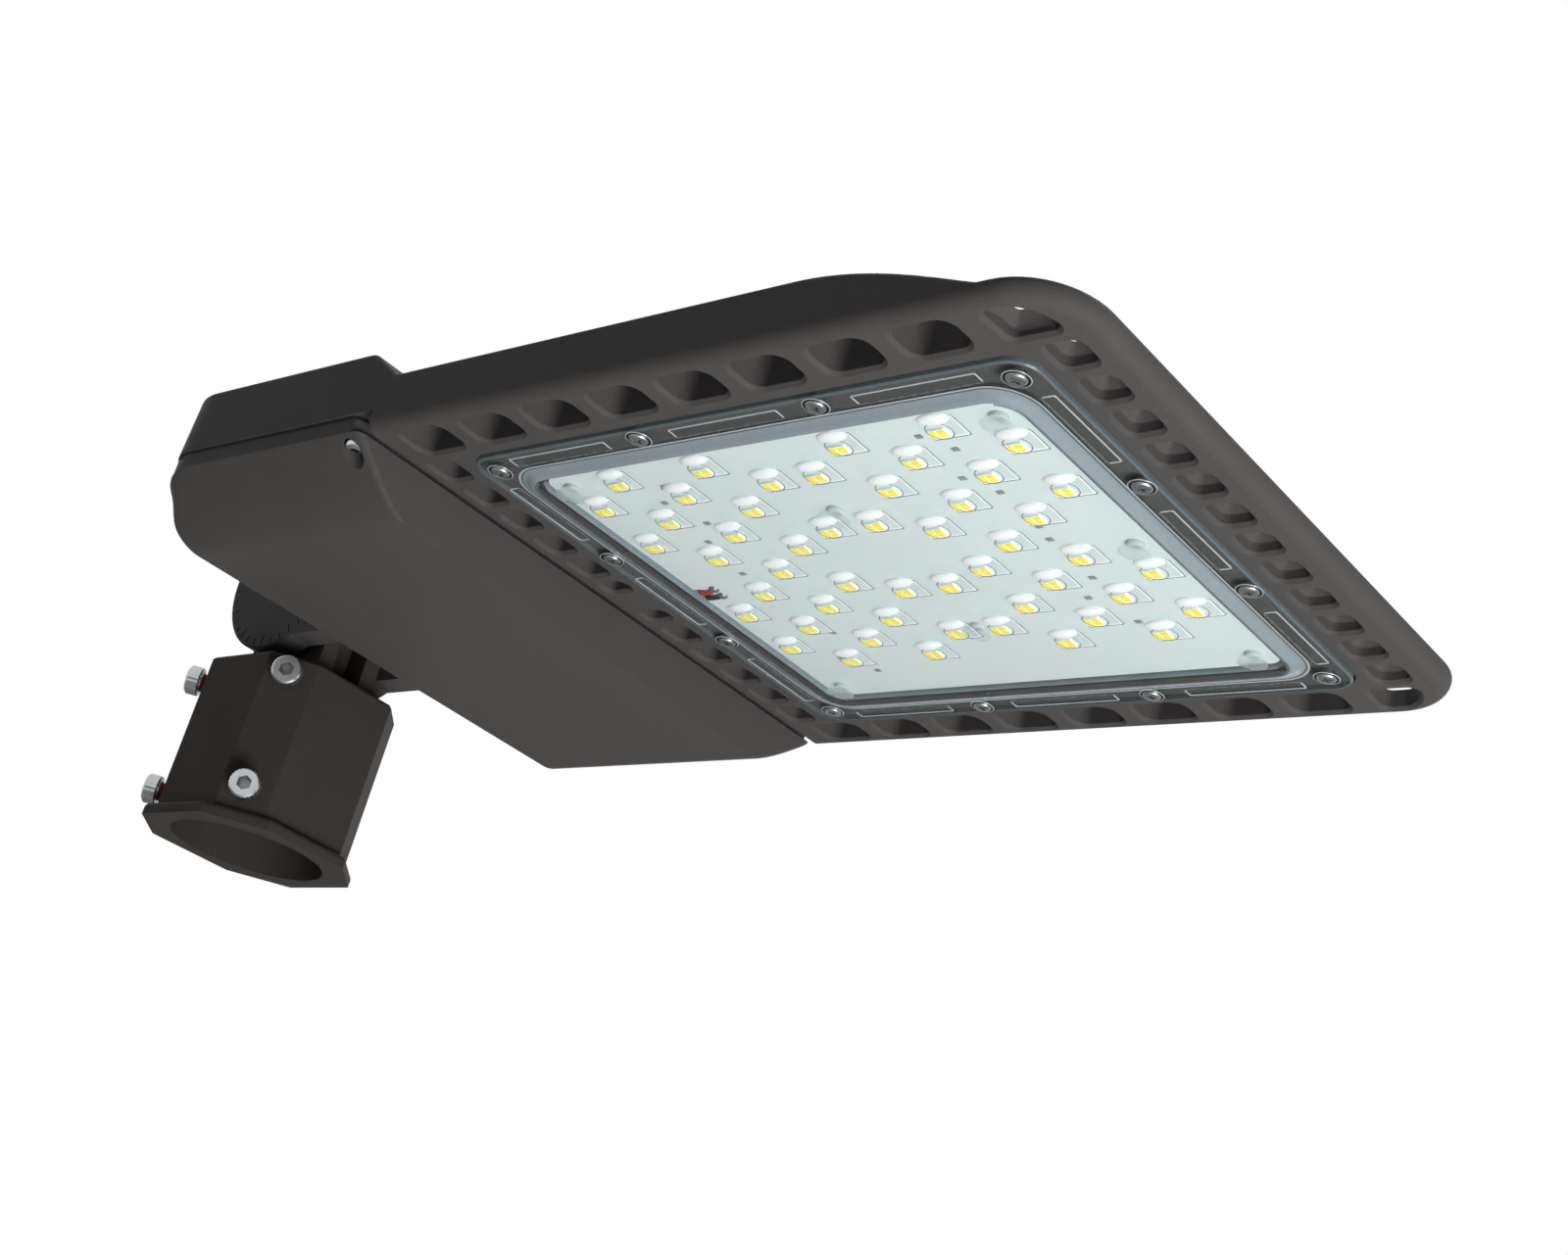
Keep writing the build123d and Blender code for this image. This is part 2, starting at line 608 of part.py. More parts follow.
def lens_plate():
    front = LENS_BACK - LENS_T
    body = plate(LENS_X, LENS_Y, LENS_CORNER, front, LENS_BACK)
    body += plate(WINDOW_X, WINDOW_Y, WINDOW_CORNER, -WINDOW_OUT, LENS_BACK)
    hollow_x = WINDOW_X - WINDOW_WALL
    hollow_y = WINDOW_Y - WINDOW_WALL
    body -= plate(hollow_x, hollow_y, WINDOW_CORNER - WINDOW_WALL, WINDOW_T - WINDOW_OUT, LENS_BACK)
    outline = RectangleRounded(OPTIC_L, OPTIC_W, OPTIC_ROUND)
    optic = Rot(180, 0, 0) * extrude(outline, OPTIC_H, taper=OPTIC_TAPER)
    body += [head(x, y, -WINDOW_OUT) * optic for x, y in led_places()]
    cuts = []
    for x, y in lens_screw_places():
        cuts.append(post(x, y, front, LENS_BACK, SCREW_D / 2 + SHANK_ROOM))
        cuts.append(post(x, y, front, front + SCREW_SINK, SCREW_HEAD_D / 2 + HEAD_ROOM))
    # Shallow recesses between the screws.
    side = Box(RECESS_L, RECESS_W, 2 * RECESS_DEPTH)
    end = Box(RECESS_W, RECESS_END_L, 2 * RECESS_DEPTH)
    for i in (-1, 0, 1):
        for s in (-1, 1):
            cuts.append(head(i * SCREW_X * 2 / 3, s * (SCREW_Y - RECESS_IN), front) * side)
            cuts.append(head(s * (SCREW_X - RECESS_IN), i * SCREW_Y * 2 / 3, front) * end)
    return body - cuts


def lens_screws():
    seat = LENS_BACK - LENS_T + SCREW_SINK
    screw = pan_screw(SCREW_D, SCREW_HEAD_D, SCREW_HEAD_H, LENS_BACK - seat + SCREW_BITE - SCREW_SHORT)
    return Compound(children=[head(x, y, seat) * screw for x, y in lens_screw_places()])


def board_sheet(z0, z1):
    """A sheet of the board's outline, notched at the drop hole, with its screw holes."""
    body = plate(BOARD_X, BOARD_Y, BOARD_CORNER, z0, z1)
    cuts = [post(x, y, z0, z1, BOARD_SCREW_D / 2 + SCREW_PLAY) for x, y in board_screw_places()]
    cuts.append(post(DROP_X, 0, z0, z1, DROP_D / 2))
    cuts.append(slab(-BOARD_X - BOARD_PLAY, DROP_X, -DROP_D / 2, DROP_D / 2, z0, z1))
    return body - cuts


def led_board():
    return board_sheet(BOARD_BACK - BOARD_T, BOARD_BACK)


def thermal_pad():
    return board_sheet(BOARD_BACK, BOARD_BACK + PAD_T)


def led_packages():
    z = BOARD_BACK - BOARD_T - LED_T / 2
    return Compound(children=[head(x, y, z) * Box(LED_SIDE, LED_SIDE, LED_T) for x, y in led_places()])


def board_screws():
    front = BOARD_BACK - BOARD_T
    length = BOARD_T + PAD_T + BOARD_SCREW_BITE - SCREW_SHORT
    screw = pan_screw(BOARD_SCREW_D, BOARD_SCREW_HEAD_D, BOARD_SCREW_HEAD_H, length)
    return Compound(children=[head(x, y, front) * screw for x, y in board_screw_places()])


# Lower casting

def belly_corner(radius, depth, wall):
    """The corner radius of a level, which shrinks with depth."""
    return max(BELLY_R_LOW, radius * (1 - depth / BELLY_R_DEPTH) - wall)


def belly(wall):
    """A straight flange, and under it the belly as a loft of level outlines, drawn in by the wall."""
    top = SEAM_Z - SEAL_T - FLANGE_T
    levels = []
    for i in range(BELLY_LEVELS + 1):
        turn = math.pi / 2 * i / BELLY_LEVELS
        depth = math.sin(turn)
        inset = 1 - math.cos(turn)
        z = top - (top - BOX_BOTTOM - wall) * depth
        half = BOX_HALF - wall - BELLY_SIDE * (BELLY_BULGE * inset + (1 - BELLY_BULGE) * depth)
        x0 = BOX_TAIL + wall + BELLY_TAIL * inset
        x1 = BOX_FRONT - wall - BELLY_FRONT * depth
        r_tail = belly_corner(BELLY_R_TAIL, depth, wall)
        levels.append(Pos(0, 0, z) * plan(x0, x1, half, r_tail, belly_corner(BELLY_R_FRONT, depth, wall)))
    r_front = belly_corner(BELLY_R_FRONT, 0, wall)
    edge = plan(BOX_TAIL + wall, FLANGE_FRONT - wall, BOX_HALF - wall, BELLY_R_TAIL - wall, r_front)
    return loft(levels) + extrude(Pos(0, 0, top) * edge, FLANGE_T)


def hook_space(play):
    """The two tail hooks, which rise past the seam and nose into the upper casting's tail wall."""
    back = TAIL_SEAM + BOX_WALL + CAVITY_TAIL + HOOK_PLAY
    seam = SEAM_Z - SEAL_T
    high = SEAM_Z + HOOK_RISE
    made = []
    for y in (-HOOK_Y, HOOK_Y):
        low_y = y - HOOK_W / 2 - play
        high_y = y + HOOK_W / 2 + play
        foot = slab(BOX_TAIL + BOX_WALL, back + HOOK_T, low_y, high_y, seam - FLANGE_T, seam)
        blade = slab(back, back + HOOK_T, low_y, high_y, seam - FLANGE_T, high)
        nose = slab(back - HOOK_NOSE - play, back, low_y, high_y, high - HOOK_NOSE_H - play, high + play)
        made.append(foot + blade + nose)
    return made


def ears():
    made = []
    web_low = PIVOT_Z - EAR_WEB_LOW
    web_high = RIM_Z + SEAM_Z - SEAL_T
    web_end = FIELD_X + BOX_TAIL + BELLY_TAIL
    for s in (-1, 1):
        y0, y1 = sorted((s * EAR_IN, s * EAR_OUT))
        ear = along_y(EAR_R, y0, y1, PIVOT_Z)
        ear = fillet(ear.edges().filter_by(GeomType.CIRCLE), EAR_EDGE)
        web = Box(web_end, EAR_T, web_high - web_low)
        made.append(ear + Pos(web_end / 2, (y0 + y1) / 2, (web_high + web_low) / 2) * web)
    return made


def driver_box():
    outer = head(0, 0, 0) * belly(0)
    inner = head(0, 0, 0) * belly(BOX_WALL)
    top = SEAM_Z - SEAL_T
    body = outer
    for ear in ears():
        body += ear
    body -= inner
    body += hook_space(0)
    for x, y in box_screw_places():
        body += post(x, y, BOX_BOTTOM, top, BOX_BOSS_D / 2) & outer
        body -= post(x, y, BOX_BOTTOM, BOX_SCREW_SEAT, DIMPLE_D / 2)
        body -= post(x, y, BOX_BOTTOM, top, BOX_SCREW_D / 2 + SCREW_PLAY)
    for x, y, foot in floor_screw_places():
        body += post(x, y, BOX_BOTTOM, foot, SMALL_HEAD_D / 2 + POST_RIM) & outer
        body -= post(x, y, foot - SMALL_BITE, foot, SMALL_D / 2 + SCREW_PLAY)
    body -= along_y(PIVOT_D / 2 + SCREW_PLAY, -EAR_OUT, EAR_OUT, PIVOT_Z)
    inlet = Rot(0, 90, 0) * Cylinder(INLET_D / 2, 4 * BOX_WALL)
    body -= head(BOX_TAIL + BOX_WALL, 0, INLET_Z) * inlet
    for i in range(MARK_COUNT):
        angle = math.radians(-90 + (i - MARK_COUNT // 2) * MARK_STEP)
        length = MARK_L if i % 3 == 0 else MARK_L * 0.6
        r = EAR_R - MARK_INSET - length / 2
        line = Rot(0, math.degrees(-angle), 0) * Box(length, 2 * MARK_DEPTH, MARK_W)
        body -= Pos(r * math.cos(angle), -EAR_OUT, PIVOT_Z + r * math.sin(angle)) * line
    return body


def box_gasket():
    low = SEAM_Z - SEAL_T
    outlines = []
    for inset in (SEAL_INSET, SEAL_INSET + SEAL_W):
        r_tail = belly_corner(BELLY_R_TAIL, 0, inset)
        r_front = belly_corner(BELLY_R_FRONT, 0, inset)
        outlines.append(plan(BOX_TAIL + inset, FLANGE_FRONT - inset, BOX_HALF - inset, r_tail, r_front))
    outer, inner = outlines
    body = head(0, 0, low) * extrude(outer - inner, SEAL_T)
    for x, y in box_screw_places():
        body -= post(x, y, low, SEAM_Z, BOX_SCREW_D / 2 + SCREW_PLAY)
    return body


def box_screws():
    length = SEAM_Z - BOX_SCREW_SEAT + BOX_SCREW_BITE - SCREW_SHORT
    screw = pan_screw(BOX_SCREW_D, BOX_SCREW_HEAD_D, BOX_SCREW_HEAD_H, length)
    return Compound(children=[head(x, y, BOX_SCREW_SEAT) * screw for x, y in box_screw_places()])


# Pieces inside the driver box

def driver_screw_places():
    reach = DRIVER_L / 2 + TAB_L / 2
    return [(DRIVER_X, DRIVER_Y - reach), (DRIVER_X, DRIVER_Y + reach)]


def surge_screw_places():
    reach = SURGE_W / 2 + SURGE_FLANGE / 2
    return [(SURGE_X - reach, SURGE_Y), (SURGE_X + reach, SURGE_Y)]


def block_screw_places():
    reach = BLOCK_L / 2 + SURGE_FLANGE / 2
    return [(BLOCK_X, BLOCK_Y - reach), (BLOCK_X, BLOCK_Y + reach)]


def floor_screw_places():
    found = [(x, y, DRIVER_FOOT) for x, y in driver_screw_places() + block_screw_places()]
    return found + [(x, y, SURGE_FOOT) for x, y in surge_screw_places()]


def led_driver():
    half = DRIVER_W / 2
    reach = DRIVER_L / 2
    case = slab(DRIVER_X - half, DRIVER_X + half, DRIVER_Y - reach, DRIVER_Y + reach,
                DRIVER_FOOT, DRIVER_FOOT + DRIVER_H)
    case = fillet(case.edges().filter_by(Axis.Y), CASE_ROUND)
    for x, y in driver_screw_places():
        inward = math.copysign(1, DRIVER_Y - y)
        y0, y1 = sorted((y - inward * TAB_L / 2, y + inward * TAB_L / 2))
        case += slab(x - TAB_W / 2, x + TAB_W / 2, y0, y1, DRIVER_FOOT, DRIVER_FOOT + TAB_T)
        case -= post(x, y, DRIVER_FOOT, DRIVER_FOOT + TAB_T, SMALL_D / 2 + SCREW_PLAY)
    return case


def surge_protector():
    half = SURGE_W / 2
    case = slab(SURGE_X - half, SURGE_X + half, SURGE_Y - SURGE_L / 2, SURGE_Y + SURGE_L / 2,
                SURGE_FOOT, SURGE_FOOT + SURGE_H)
    case = fillet(case.edges().filter_by(Axis.Z), CASE_ROUND)
    reach = half + SURGE_FLANGE
    case += slab(SURGE_X - reach, SURGE_X + reach, SURGE_Y - SMALL_HEAD_D, SURGE_Y + SMALL_HEAD_D,
                 SURGE_FOOT, SURGE_FOOT + TAB_T)
    for x, y in surge_screw_places():
        case -= post(x, y, SURGE_FOOT, SURGE_FOOT + TAB_T, SMALL_D / 2 + SCREW_PLAY)
    return case


def terminal_block():
    reach = BLOCK_L / 2
    body = slab(BLOCK_X - BLOCK_W / 2, BLOCK_X + BLOCK_W / 2, BLOCK_Y - reach, BLOCK_Y + reach,
                DRIVER_FOOT, DRIVER_FOOT + BLOCK_H)
    for y in block_poles():
        body -= post(BLOCK_X, y, DRIVER_FOOT + BLOCK_H - POLE_DEPTH, DRIVER_FOOT + BLOCK_H, POLE_D / 2)
    wide = reach + SURGE_FLANGE
    body += slab(BLOCK_X - SMALL_HEAD_D, BLOCK_X + SMALL_HEAD_D, BLOCK_Y - wide, BLOCK_Y + wide,
                 DRIVER_FOOT, DRIVER_FOOT + TAB_T)
    for x, y in block_screw_places():
        body -= post(x, y, DRIVER_FOOT, DRIVER_FOOT + TAB_T, SMALL_D / 2 + SCREW_PLAY)
    return body


def block_poles():
    return [BLOCK_Y + (i - 1) * BLOCK_L / BLOCK_POLES for i in range(BLOCK_POLES)]


def small_screws(places, foot):
    screw = Rot(180, 0, 0) * pan_screw(SMALL_D, SMALL_HEAD_D, SMALL_HEAD_H, TAB_T + SMALL_BITE - SCREW_SHORT)
    return Compound(children=[head(x, y, foot + TAB_T) * screw for x, y in places])


def lead(points, radius):
    """A round lead through the points, bent gently at each turn."""
    path = FilletPolyline(*points, radius=radius)
    start = Plane(origin=path @ 0, z_dir=path % 0)
    return head(0, 0, 0) * sweep(start * Circle(LEAD_D / 2), path)


def led_lead(side):
    y = side * LEAD_GAP
    low = BOARD_BACK - BOARD_T - LEAD_D / 2 - LEAD_LIFT
    start = DRIVER_X + DRIVER_W / 2
    port = DRIVER_FOOT + LEAD_PORT
    points = [(start, y, port), (start + LEAD_RISE_L, y, port), (CAVITY_FRONT - LEAD_LEVEL_L, y, DUCT_Z),
              (DROP_X, y, DUCT_Z), (DROP_X, y, low), (LEAD_END, y, low)]
    return lead(points, LEAD_BEND)


def input_leads():
    start = DRIVER_X + DRIVER_W / 2
    end = BLOCK_X - BLOCK_W / 2
    high = DRIVER_FOOT + INPUT_HIGH
    low = DRIVER_FOOT + INPUT_LOW
    made = []
    for y in block_poles():
        points = [(start, y, high), (start + INPUT_OUT, y, high), (end - INPUT_IN, y, low), (end, y, low)]
        made.append(lead(points, INPUT_BEND))
    return Compound(children=made)


def surge_leads():
    over = DRIVER_FOOT + DRIVER_H + SURGE_LEAD_OVER
    port = SURGE_FOOT + SURGE_LEAD_PORT
    wall = SURGE_Y - SURGE_L / 2
    foot = DRIVER_FOOT + BLOCK_H - POLE_DEPTH
    made = []
    for i, y in enumerate(block_poles()):
        x = SURGE_X + (i - 1) * SURGE_LEAD_PITCH
        turn = SURGE_LEAD_TURN - i * SURGE_LEAD_STEP
        points = [(x, wall, port), (x, wall - SURGE_LEAD_OUT, port),
                  (x, wall - SURGE_LEAD_OUT - SURGE_LEAD_CLIMB, over), (x, turn, over), (BLOCK_X, y, over),
                  (BLOCK_X, y, foot)]
        made.append(lead(points, LEAD_BEND))
    return Compound(children=made)


def lead_grommet():
    flange = Cylinder(DUCT_D / 2 + GROMMET_LIP, GROMMET_T)
    sleeve = Pos(0, 0, (GROMMET_T + GROMMET_IN) / 2) * Cylinder(DUCT_D / 2 - SCREW_PLAY, GROMMET_IN)
    body = flange + sleeve
    for s in (-1, 1):
        body -= Pos(0, s * LEAD_GAP, 0) * Cylinder(LEAD_D / 2 + SCREW_PLAY, 3 * GROMMET_IN)
    return head(CAVITY_FRONT - GROMMET_T / 2, 0, DUCT_Z) * Rot(0, 90, 0) * body


def inlet_grommet():
    sleeve = Cylinder(INLET_D / 2 - SCREW_PLAY, 2 * BOX_WALL)
    bore = Cylinder(INLET_D / 2 - INLET_WALL, 2 * BOX_WALL)
    return head(BOX_TAIL + BOX_WALL / 2, 0, INLET_Z) * Rot(0, 90, 0) * (sleeve - bore)


# Knuckle hardware

def pivot_bolt():
    outside = EAR_OUT + PIVOT_WASHER_T
    end = outside + PIVOT_NUT_H + PIVOT_END
    rod = along_y(PIVOT_D / 2, -end, outside, PIVOT_Z)
    cap = Pos(0, outside, PIVOT_Z) * Rot(-90, 0, 0) * hex_rod(PIVOT_HEX, PIVOT_HEAD_H)
    return rod + cap


def pivot_nut():
    outside = EAR_OUT + PIVOT_WASHER_T
    nut = Pos(0, -outside, PIVOT_Z) * Rot(90, 0, 0) * hex_rod(PIVOT_HEX, PIVOT_NUT_H)
    return nut - along_y(PIVOT_D / 2 + SCREW_PLAY, -outside - PIVOT_NUT_H, -outside, PIVOT_Z)


def washers(inner_y, thickness, radius):
    made = []
    for s in (-1, 1):
        y0, y1 = sorted((s * inner_y, s * (inner_y + thickness)))
        ring = along_y(radius, y0, y1, PIVOT_Z)
        made.append(ring - along_y(PIVOT_D / 2 + SCREW_PLAY, y0, y1, PIVOT_Z))
    return Compound(children=made)


def main():
    nodes = {name: clamp_bolt(*place) for name, place in CLAMP_PLACES.items()}
    nodes["slip_fitter"] = slip_fitter()
    nodes["heat_sink_housing"] = heat_sink_housing()
    nodes["driver_box"] = driver_box()
    nodes["box_gasket"] = box_gasket()
    nodes["box_screws"] = box_screws()
    nodes["led_board"] = led_board()
    nodes["led_packages"] = led_packages()
    nodes["thermal_pad"] = thermal_pad()
    nodes["lens_plate"] = lens_plate()
    nodes["lens_gasket"] = head(0, 0, LENS_BACK) * extrude(gasket_ring(), GASKET_T)
    nodes["lens_screws"] = lens_screws()
    nodes["board_screws"] = board_screws()
    nodes["led_lead_red"] = led_lead(-1)
    nodes["led_lead_black"] = led_lead(1)
    nodes["lead_grommet"] = lead_grommet()
    nodes["led_driver"] = led_driver()
    nodes["driver_screws"] = small_screws(driver_screw_places(), DRIVER_FOOT)
    nodes["surge_protector"] = surge_protector()
    nodes["surge_screws"] = small_screws(surge_screw_places(), SURGE_FOOT)
    nodes["terminal_block"] = terminal_block()
    nodes["terminal_screws"] = small_screws(block_screw_places(), DRIVER_FOOT)
    nodes["input_leads"] = input_leads()
    nodes["surge_leads"] = surge_leads()
    nodes["inlet_grommet"] = inlet_grommet()
    nodes["pivot_bolt"] = pivot_bolt()
    nodes["pivot_nut"] = pivot_nut()
    nodes["pivot_washers"] = washers(EAR_OUT, PIVOT_WASHER_T, PIVOT_WASHER_R)
    nodes["friction_washers"] = washers(EAR_IN - FRICTION_T, FRICTION_T, FRICTION_R)
    os.makedirs("parts", exist_ok=True)
    for name, shape in nodes.items():
        export_step(shape, "parts/" + name + ".step")


main()
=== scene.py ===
import math

import bmesh
import bpy
from mathutils import Matrix, Vector


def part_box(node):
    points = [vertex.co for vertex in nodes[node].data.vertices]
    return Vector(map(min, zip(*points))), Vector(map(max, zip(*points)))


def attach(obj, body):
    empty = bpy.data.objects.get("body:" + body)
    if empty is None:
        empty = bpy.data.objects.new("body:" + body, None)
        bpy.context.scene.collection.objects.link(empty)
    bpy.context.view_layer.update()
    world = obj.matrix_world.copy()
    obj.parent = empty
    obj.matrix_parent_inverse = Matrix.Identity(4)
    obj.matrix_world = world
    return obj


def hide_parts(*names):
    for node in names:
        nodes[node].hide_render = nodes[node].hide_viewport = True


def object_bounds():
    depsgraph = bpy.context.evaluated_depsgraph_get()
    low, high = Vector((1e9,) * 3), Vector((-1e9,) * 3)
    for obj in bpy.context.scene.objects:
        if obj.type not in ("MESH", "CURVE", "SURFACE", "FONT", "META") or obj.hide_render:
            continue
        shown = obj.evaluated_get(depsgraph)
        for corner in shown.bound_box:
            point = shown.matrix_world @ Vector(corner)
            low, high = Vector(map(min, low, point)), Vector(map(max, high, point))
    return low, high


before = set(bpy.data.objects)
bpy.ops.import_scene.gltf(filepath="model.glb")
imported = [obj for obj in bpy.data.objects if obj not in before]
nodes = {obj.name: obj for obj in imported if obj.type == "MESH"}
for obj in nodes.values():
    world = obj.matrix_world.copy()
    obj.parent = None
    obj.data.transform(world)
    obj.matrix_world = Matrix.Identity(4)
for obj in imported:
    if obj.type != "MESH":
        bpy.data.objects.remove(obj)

cad_box = [list(corner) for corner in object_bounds()]
# A millimetre in the scene's metres.
MM = 0.001


# Materials

# How much of the grain shows in the tone, beside its relief.
GRAIN_IN_TONE = 0.12


def linear(code):
    """An sRGB hex colour as linear RGBA."""
    parts = [int(code[i:i + 2], 16) / 255 for i in (1, 3, 5)]
    return [c / 12.92 if c <= 0.04045 else ((c + 0.055) / 1.055) ** 2.4 for c in parts] + [1.0]


def add(tree, kind, inputs=None, **settings):
    """One node with its settings; an input is a value or the socket that feeds it."""
    made = tree.nodes.new(kind)
    for key, value in settings.items():
        setattr(made, key, value)
    for key, value in (inputs or {}).items():
        if isinstance(value, bpy.types.NodeSocket):
            tree.links.new(value, made.inputs[key])
        else:
            made.inputs[key].default_value = value
    return made


def start(name):
    """An empty material with object coordinates and a surface shader."""
    material = bpy.data.materials.new(name)
    material.use_nodes = True
    tree = material.node_tree
    tree.nodes.clear()
    place = add(tree, "ShaderNodeTexCoord").outputs["Object"]
    shader = add(tree, "ShaderNodeBsdfPrincipled")
    end = add(tree, "ShaderNodeOutputMaterial", {"Surface": shader.outputs["BSDF"]})
    return material, tree, place, shader, end


def per_metre(size_mm):
    """The noise scale whose features are about this many millimetres wide."""
    return 1000.0 / size_mm


def pass_light(tree, shader, end, tint):
    """Lets lamps shine through a see-through material, a little tinted, onto what lies behind it."""
    path = add(tree, "ShaderNodeLightPath")
    through = add(tree, "ShaderNodeBsdfTransparent", {"Color": linear(tint)})
    lit = add(tree, "ShaderNodeMixShader", {0: path.outputs["Is Shadow Ray"], 1: shader.outputs["BSDF"],
                                            2: through.outputs["BSDF"]})
    tree.links.new(lit.outputs[0], end.inputs["Surface"])


def speckled(name, colours, mottle_mm, grain_mm, roughness, grain_lift, edge_mm=0.0, passes=None, **sockets):
    """Two close tones that drift over the surface, a fine grain in relief, and roughness that varies.

    edge_mm softens sharp edges, passes is the tint of the light let through, and sockets are more shader inputs.
    """
    material, tree, place, shader, end = start(name)
    mottle = add(tree, "ShaderNodeTexNoise", {"Vector": place, "Scale": per_metre(mottle_mm), "Detail": 3.0})
    grain = add(tree, "ShaderNodeTexNoise", {"Vector": place, "Scale": per_metre(grain_mm), "Detail": 2.0})
    both = add(tree, "ShaderNodeMath", {0: mottle.outputs["Fac"], 1: grain.outputs["Fac"], 2: GRAIN_IN_TONE},
               operation="MULTIPLY_ADD")
    # In a colour mix, 0 is the factor, 6 and 7 are the two colours and output 2 is their mix.
    tone = add(tree, "ShaderNodeMix", {0: both.outputs[0], 6: linear(colours[0]), 7: linear(colours[1])},
               data_type="RGBA")
    low, high = roughness
    rough = add(tree, "ShaderNodeMapRange", {"Value": mottle.outputs["Fac"], "To Min": low, "To Max": high})
    lift = add(tree, "ShaderNodeBump", {"Height": grain.outputs["Fac"], "Distance": MM, "Strength": grain_lift})
    if edge_mm:
        soft = add(tree, "ShaderNodeBevel", {"Radius": edge_mm * MM}, samples=4)
        tree.links.new(soft.outputs["Normal"], lift.inputs["Normal"])
    tree.links.new(tone.outputs[2], shader.inputs["Base Color"])
    tree.links.new(rough.outputs[0], shader.inputs["Roughness"])
    tree.links.new(lift.outputs[0], shader.inputs["Normal"])
    for key, value in sockets.items():
        shader.inputs[key.replace("_", " ")].default_value = value
    if passes:
        pass_light(tree, shader, end, passes)
    return material


def clear_plastic(name, tint, bend, roughness, ripple_mm, ripple_lift):
    """Clear moulded plastic with faint flow ripples: mirror-like on its skin, seen through and shone through."""
    material, tree, place, shader, end = start(name)
    ripple = add(tree, "ShaderNodeTexNoise", {"Vector": place, "Scale": per_metre(ripple_mm), "Detail": 1.0})
    wave = add(tree, "ShaderNodeBump", {"Height": ripple.outputs["Fac"], "Distance": MM, "Strength": ripple_lift})
    rough = add(tree, "ShaderNodeMapRange", {"Value": ripple.outputs["Fac"], "To Min": roughness,
                                             "To Max": 2 * roughness})
    settings = {"Base Color": linear(tint), "Transmission Weight": 1.0, "IOR": bend, "Coat Weight": 0.6,
                "Coat Roughness": 0.04, "Coat IOR": 1.4}
    for key, value in settings.items():
        shader.inputs[key].default_value = value
    tree.links.new(rough.outputs[0], shader.inputs["Roughness"])
    tree.links.new(wave.outputs[0], shader.inputs["Coat Normal"])
    pass_light(tree, shader, end, tint)
    return material


# Polyester powder coat, dark bronze, baked on die-cast aluminium: a satin skin with a fine sandy grain. The real
# grain is about 0.3 mm and is drawn at 0.9 mm so that it shows.
coat = dict(mottle_mm=22, grain_mm=0.9, roughness=(0.5, 0.64), grain_lift=0.1, edge_mm=0.5, Specular_IOR_Level=0.06)
powder_coat = speckled("powder_coat_dark_bronze", ("#484645", "#545251"), **coat)
# The same coat on the slip fitter, drawn a shade darker and warmer.
powder_coat_fitter = speckled("powder_coat_fitter", ("#36322F", "#413D3A"), **coat)
# Polycarbonate, polished mould: clear and glossy, a little cool. It is flat and thin, so it hardly bends the view.
lens_clear = clear_plastic("polycarbonate_clear", "#FAFDFD", bend=1.03, roughness=0.01, ripple_mm=14, ripple_lift=0.03)
# The rounded shoulder of the window, drawn blue-grey as painted sheen: it stands in for the glassy look of the thick
# plastic.
lens_shoulder_painted_sheen = speckled("polycarbonate_shoulder_painted_sheen", ("#8E9CA3", "#A5B2B8"), mottle_mm=30, grain_mm=2,
                         roughness=(0.16, 0.26), grain_lift=0.02, passes="#E8EEF0",
                         Transmission_Weight=0.3, IOR=1.3, Coat_Weight=0.3)
# Painted shade: bands of the plate that turn away from the light, drawn a darker grey.
lens_painted_shade = speckled("polycarbonate_painted_shade", ("#6E7A80", "#869298"), mottle_mm=24, grain_mm=2,
                      roughness=(0.2, 0.32), grain_lift=0.02, passes="#E8EEF0",
                      Transmission_Weight=0.5, IOR=1.2, Coat_Weight=0.3)
# Thin pale lines of painted highlight along moulded edges, where an edge seen end-on gathers light.
lens_painted_highlight = speckled("polycarbonate_painted_highlight", ("#9AA5A9", "#B9C4C6"), mottle_mm=9, grain_mm=0.8,
                            roughness=(0.2, 0.35), grain_lift=0.03, passes="#E8EEF0", Coat_Weight=0.5)
# Thin grey lines of painted shade along moulded edges, where the edge bends the view away to the dark.
lens_painted_dark_edge = speckled("polycarbonate_painted_dark_edge", ("#5C6164", "#7A8083"), mottle_mm=3, grain_mm=0.8,
                          roughness=(0.2, 0.35), grain_lift=0.02, passes="#F0F2F2",
                          Transmission_Weight=0.2, IOR=1.3)
# Milky white as painted highlight: it stands in for the lit white board seen through the lens domes and the block
# edges.
lens_milky_highlight = speckled("polycarbonate_milky_highlight", ("#E6ECED", "#F6F9F9"), mottle_mm=4, grain_mm=0.8,
                        roughness=(0.3, 0.45), grain_lift=0.04, passes="#F6F8F8",
                        Transmission_Weight=0.15, IOR=1.2, Coat_Weight=0.3)
# Dull moulded cones over the board screws: they blur what lies behind.
lens_dull = speckled("polycarbonate_dull", ("#CFDADA", "#E2EAE8"), mottle_mm=5, grain_mm=0.8,
                     roughness=(0.5, 0.65), grain_lift=0.03, passes="#F6F8F8",
                     Transmission_Weight=0.8, IOR=1.05)
# White solder mask on an aluminium board: nearly matt, faintly cool, with broad pale drifts of tone.
solder_mask = speckled("solder_mask_white", ("#CDD5D5", "#DEE3E0"), mottle_mm=38, grain_mm=1.5,
                       roughness=(0.45, 0.6), grain_lift=0.02)
# White reflector plastic of the LED packages: bright and slightly glossy.
package_white = speckled("led_package_white", ("#EFF0EC", "#F8F8F5"), mottle_mm=2, grain_mm=0.5,
                         roughness=(0.35, 0.5), grain_lift=0.02)
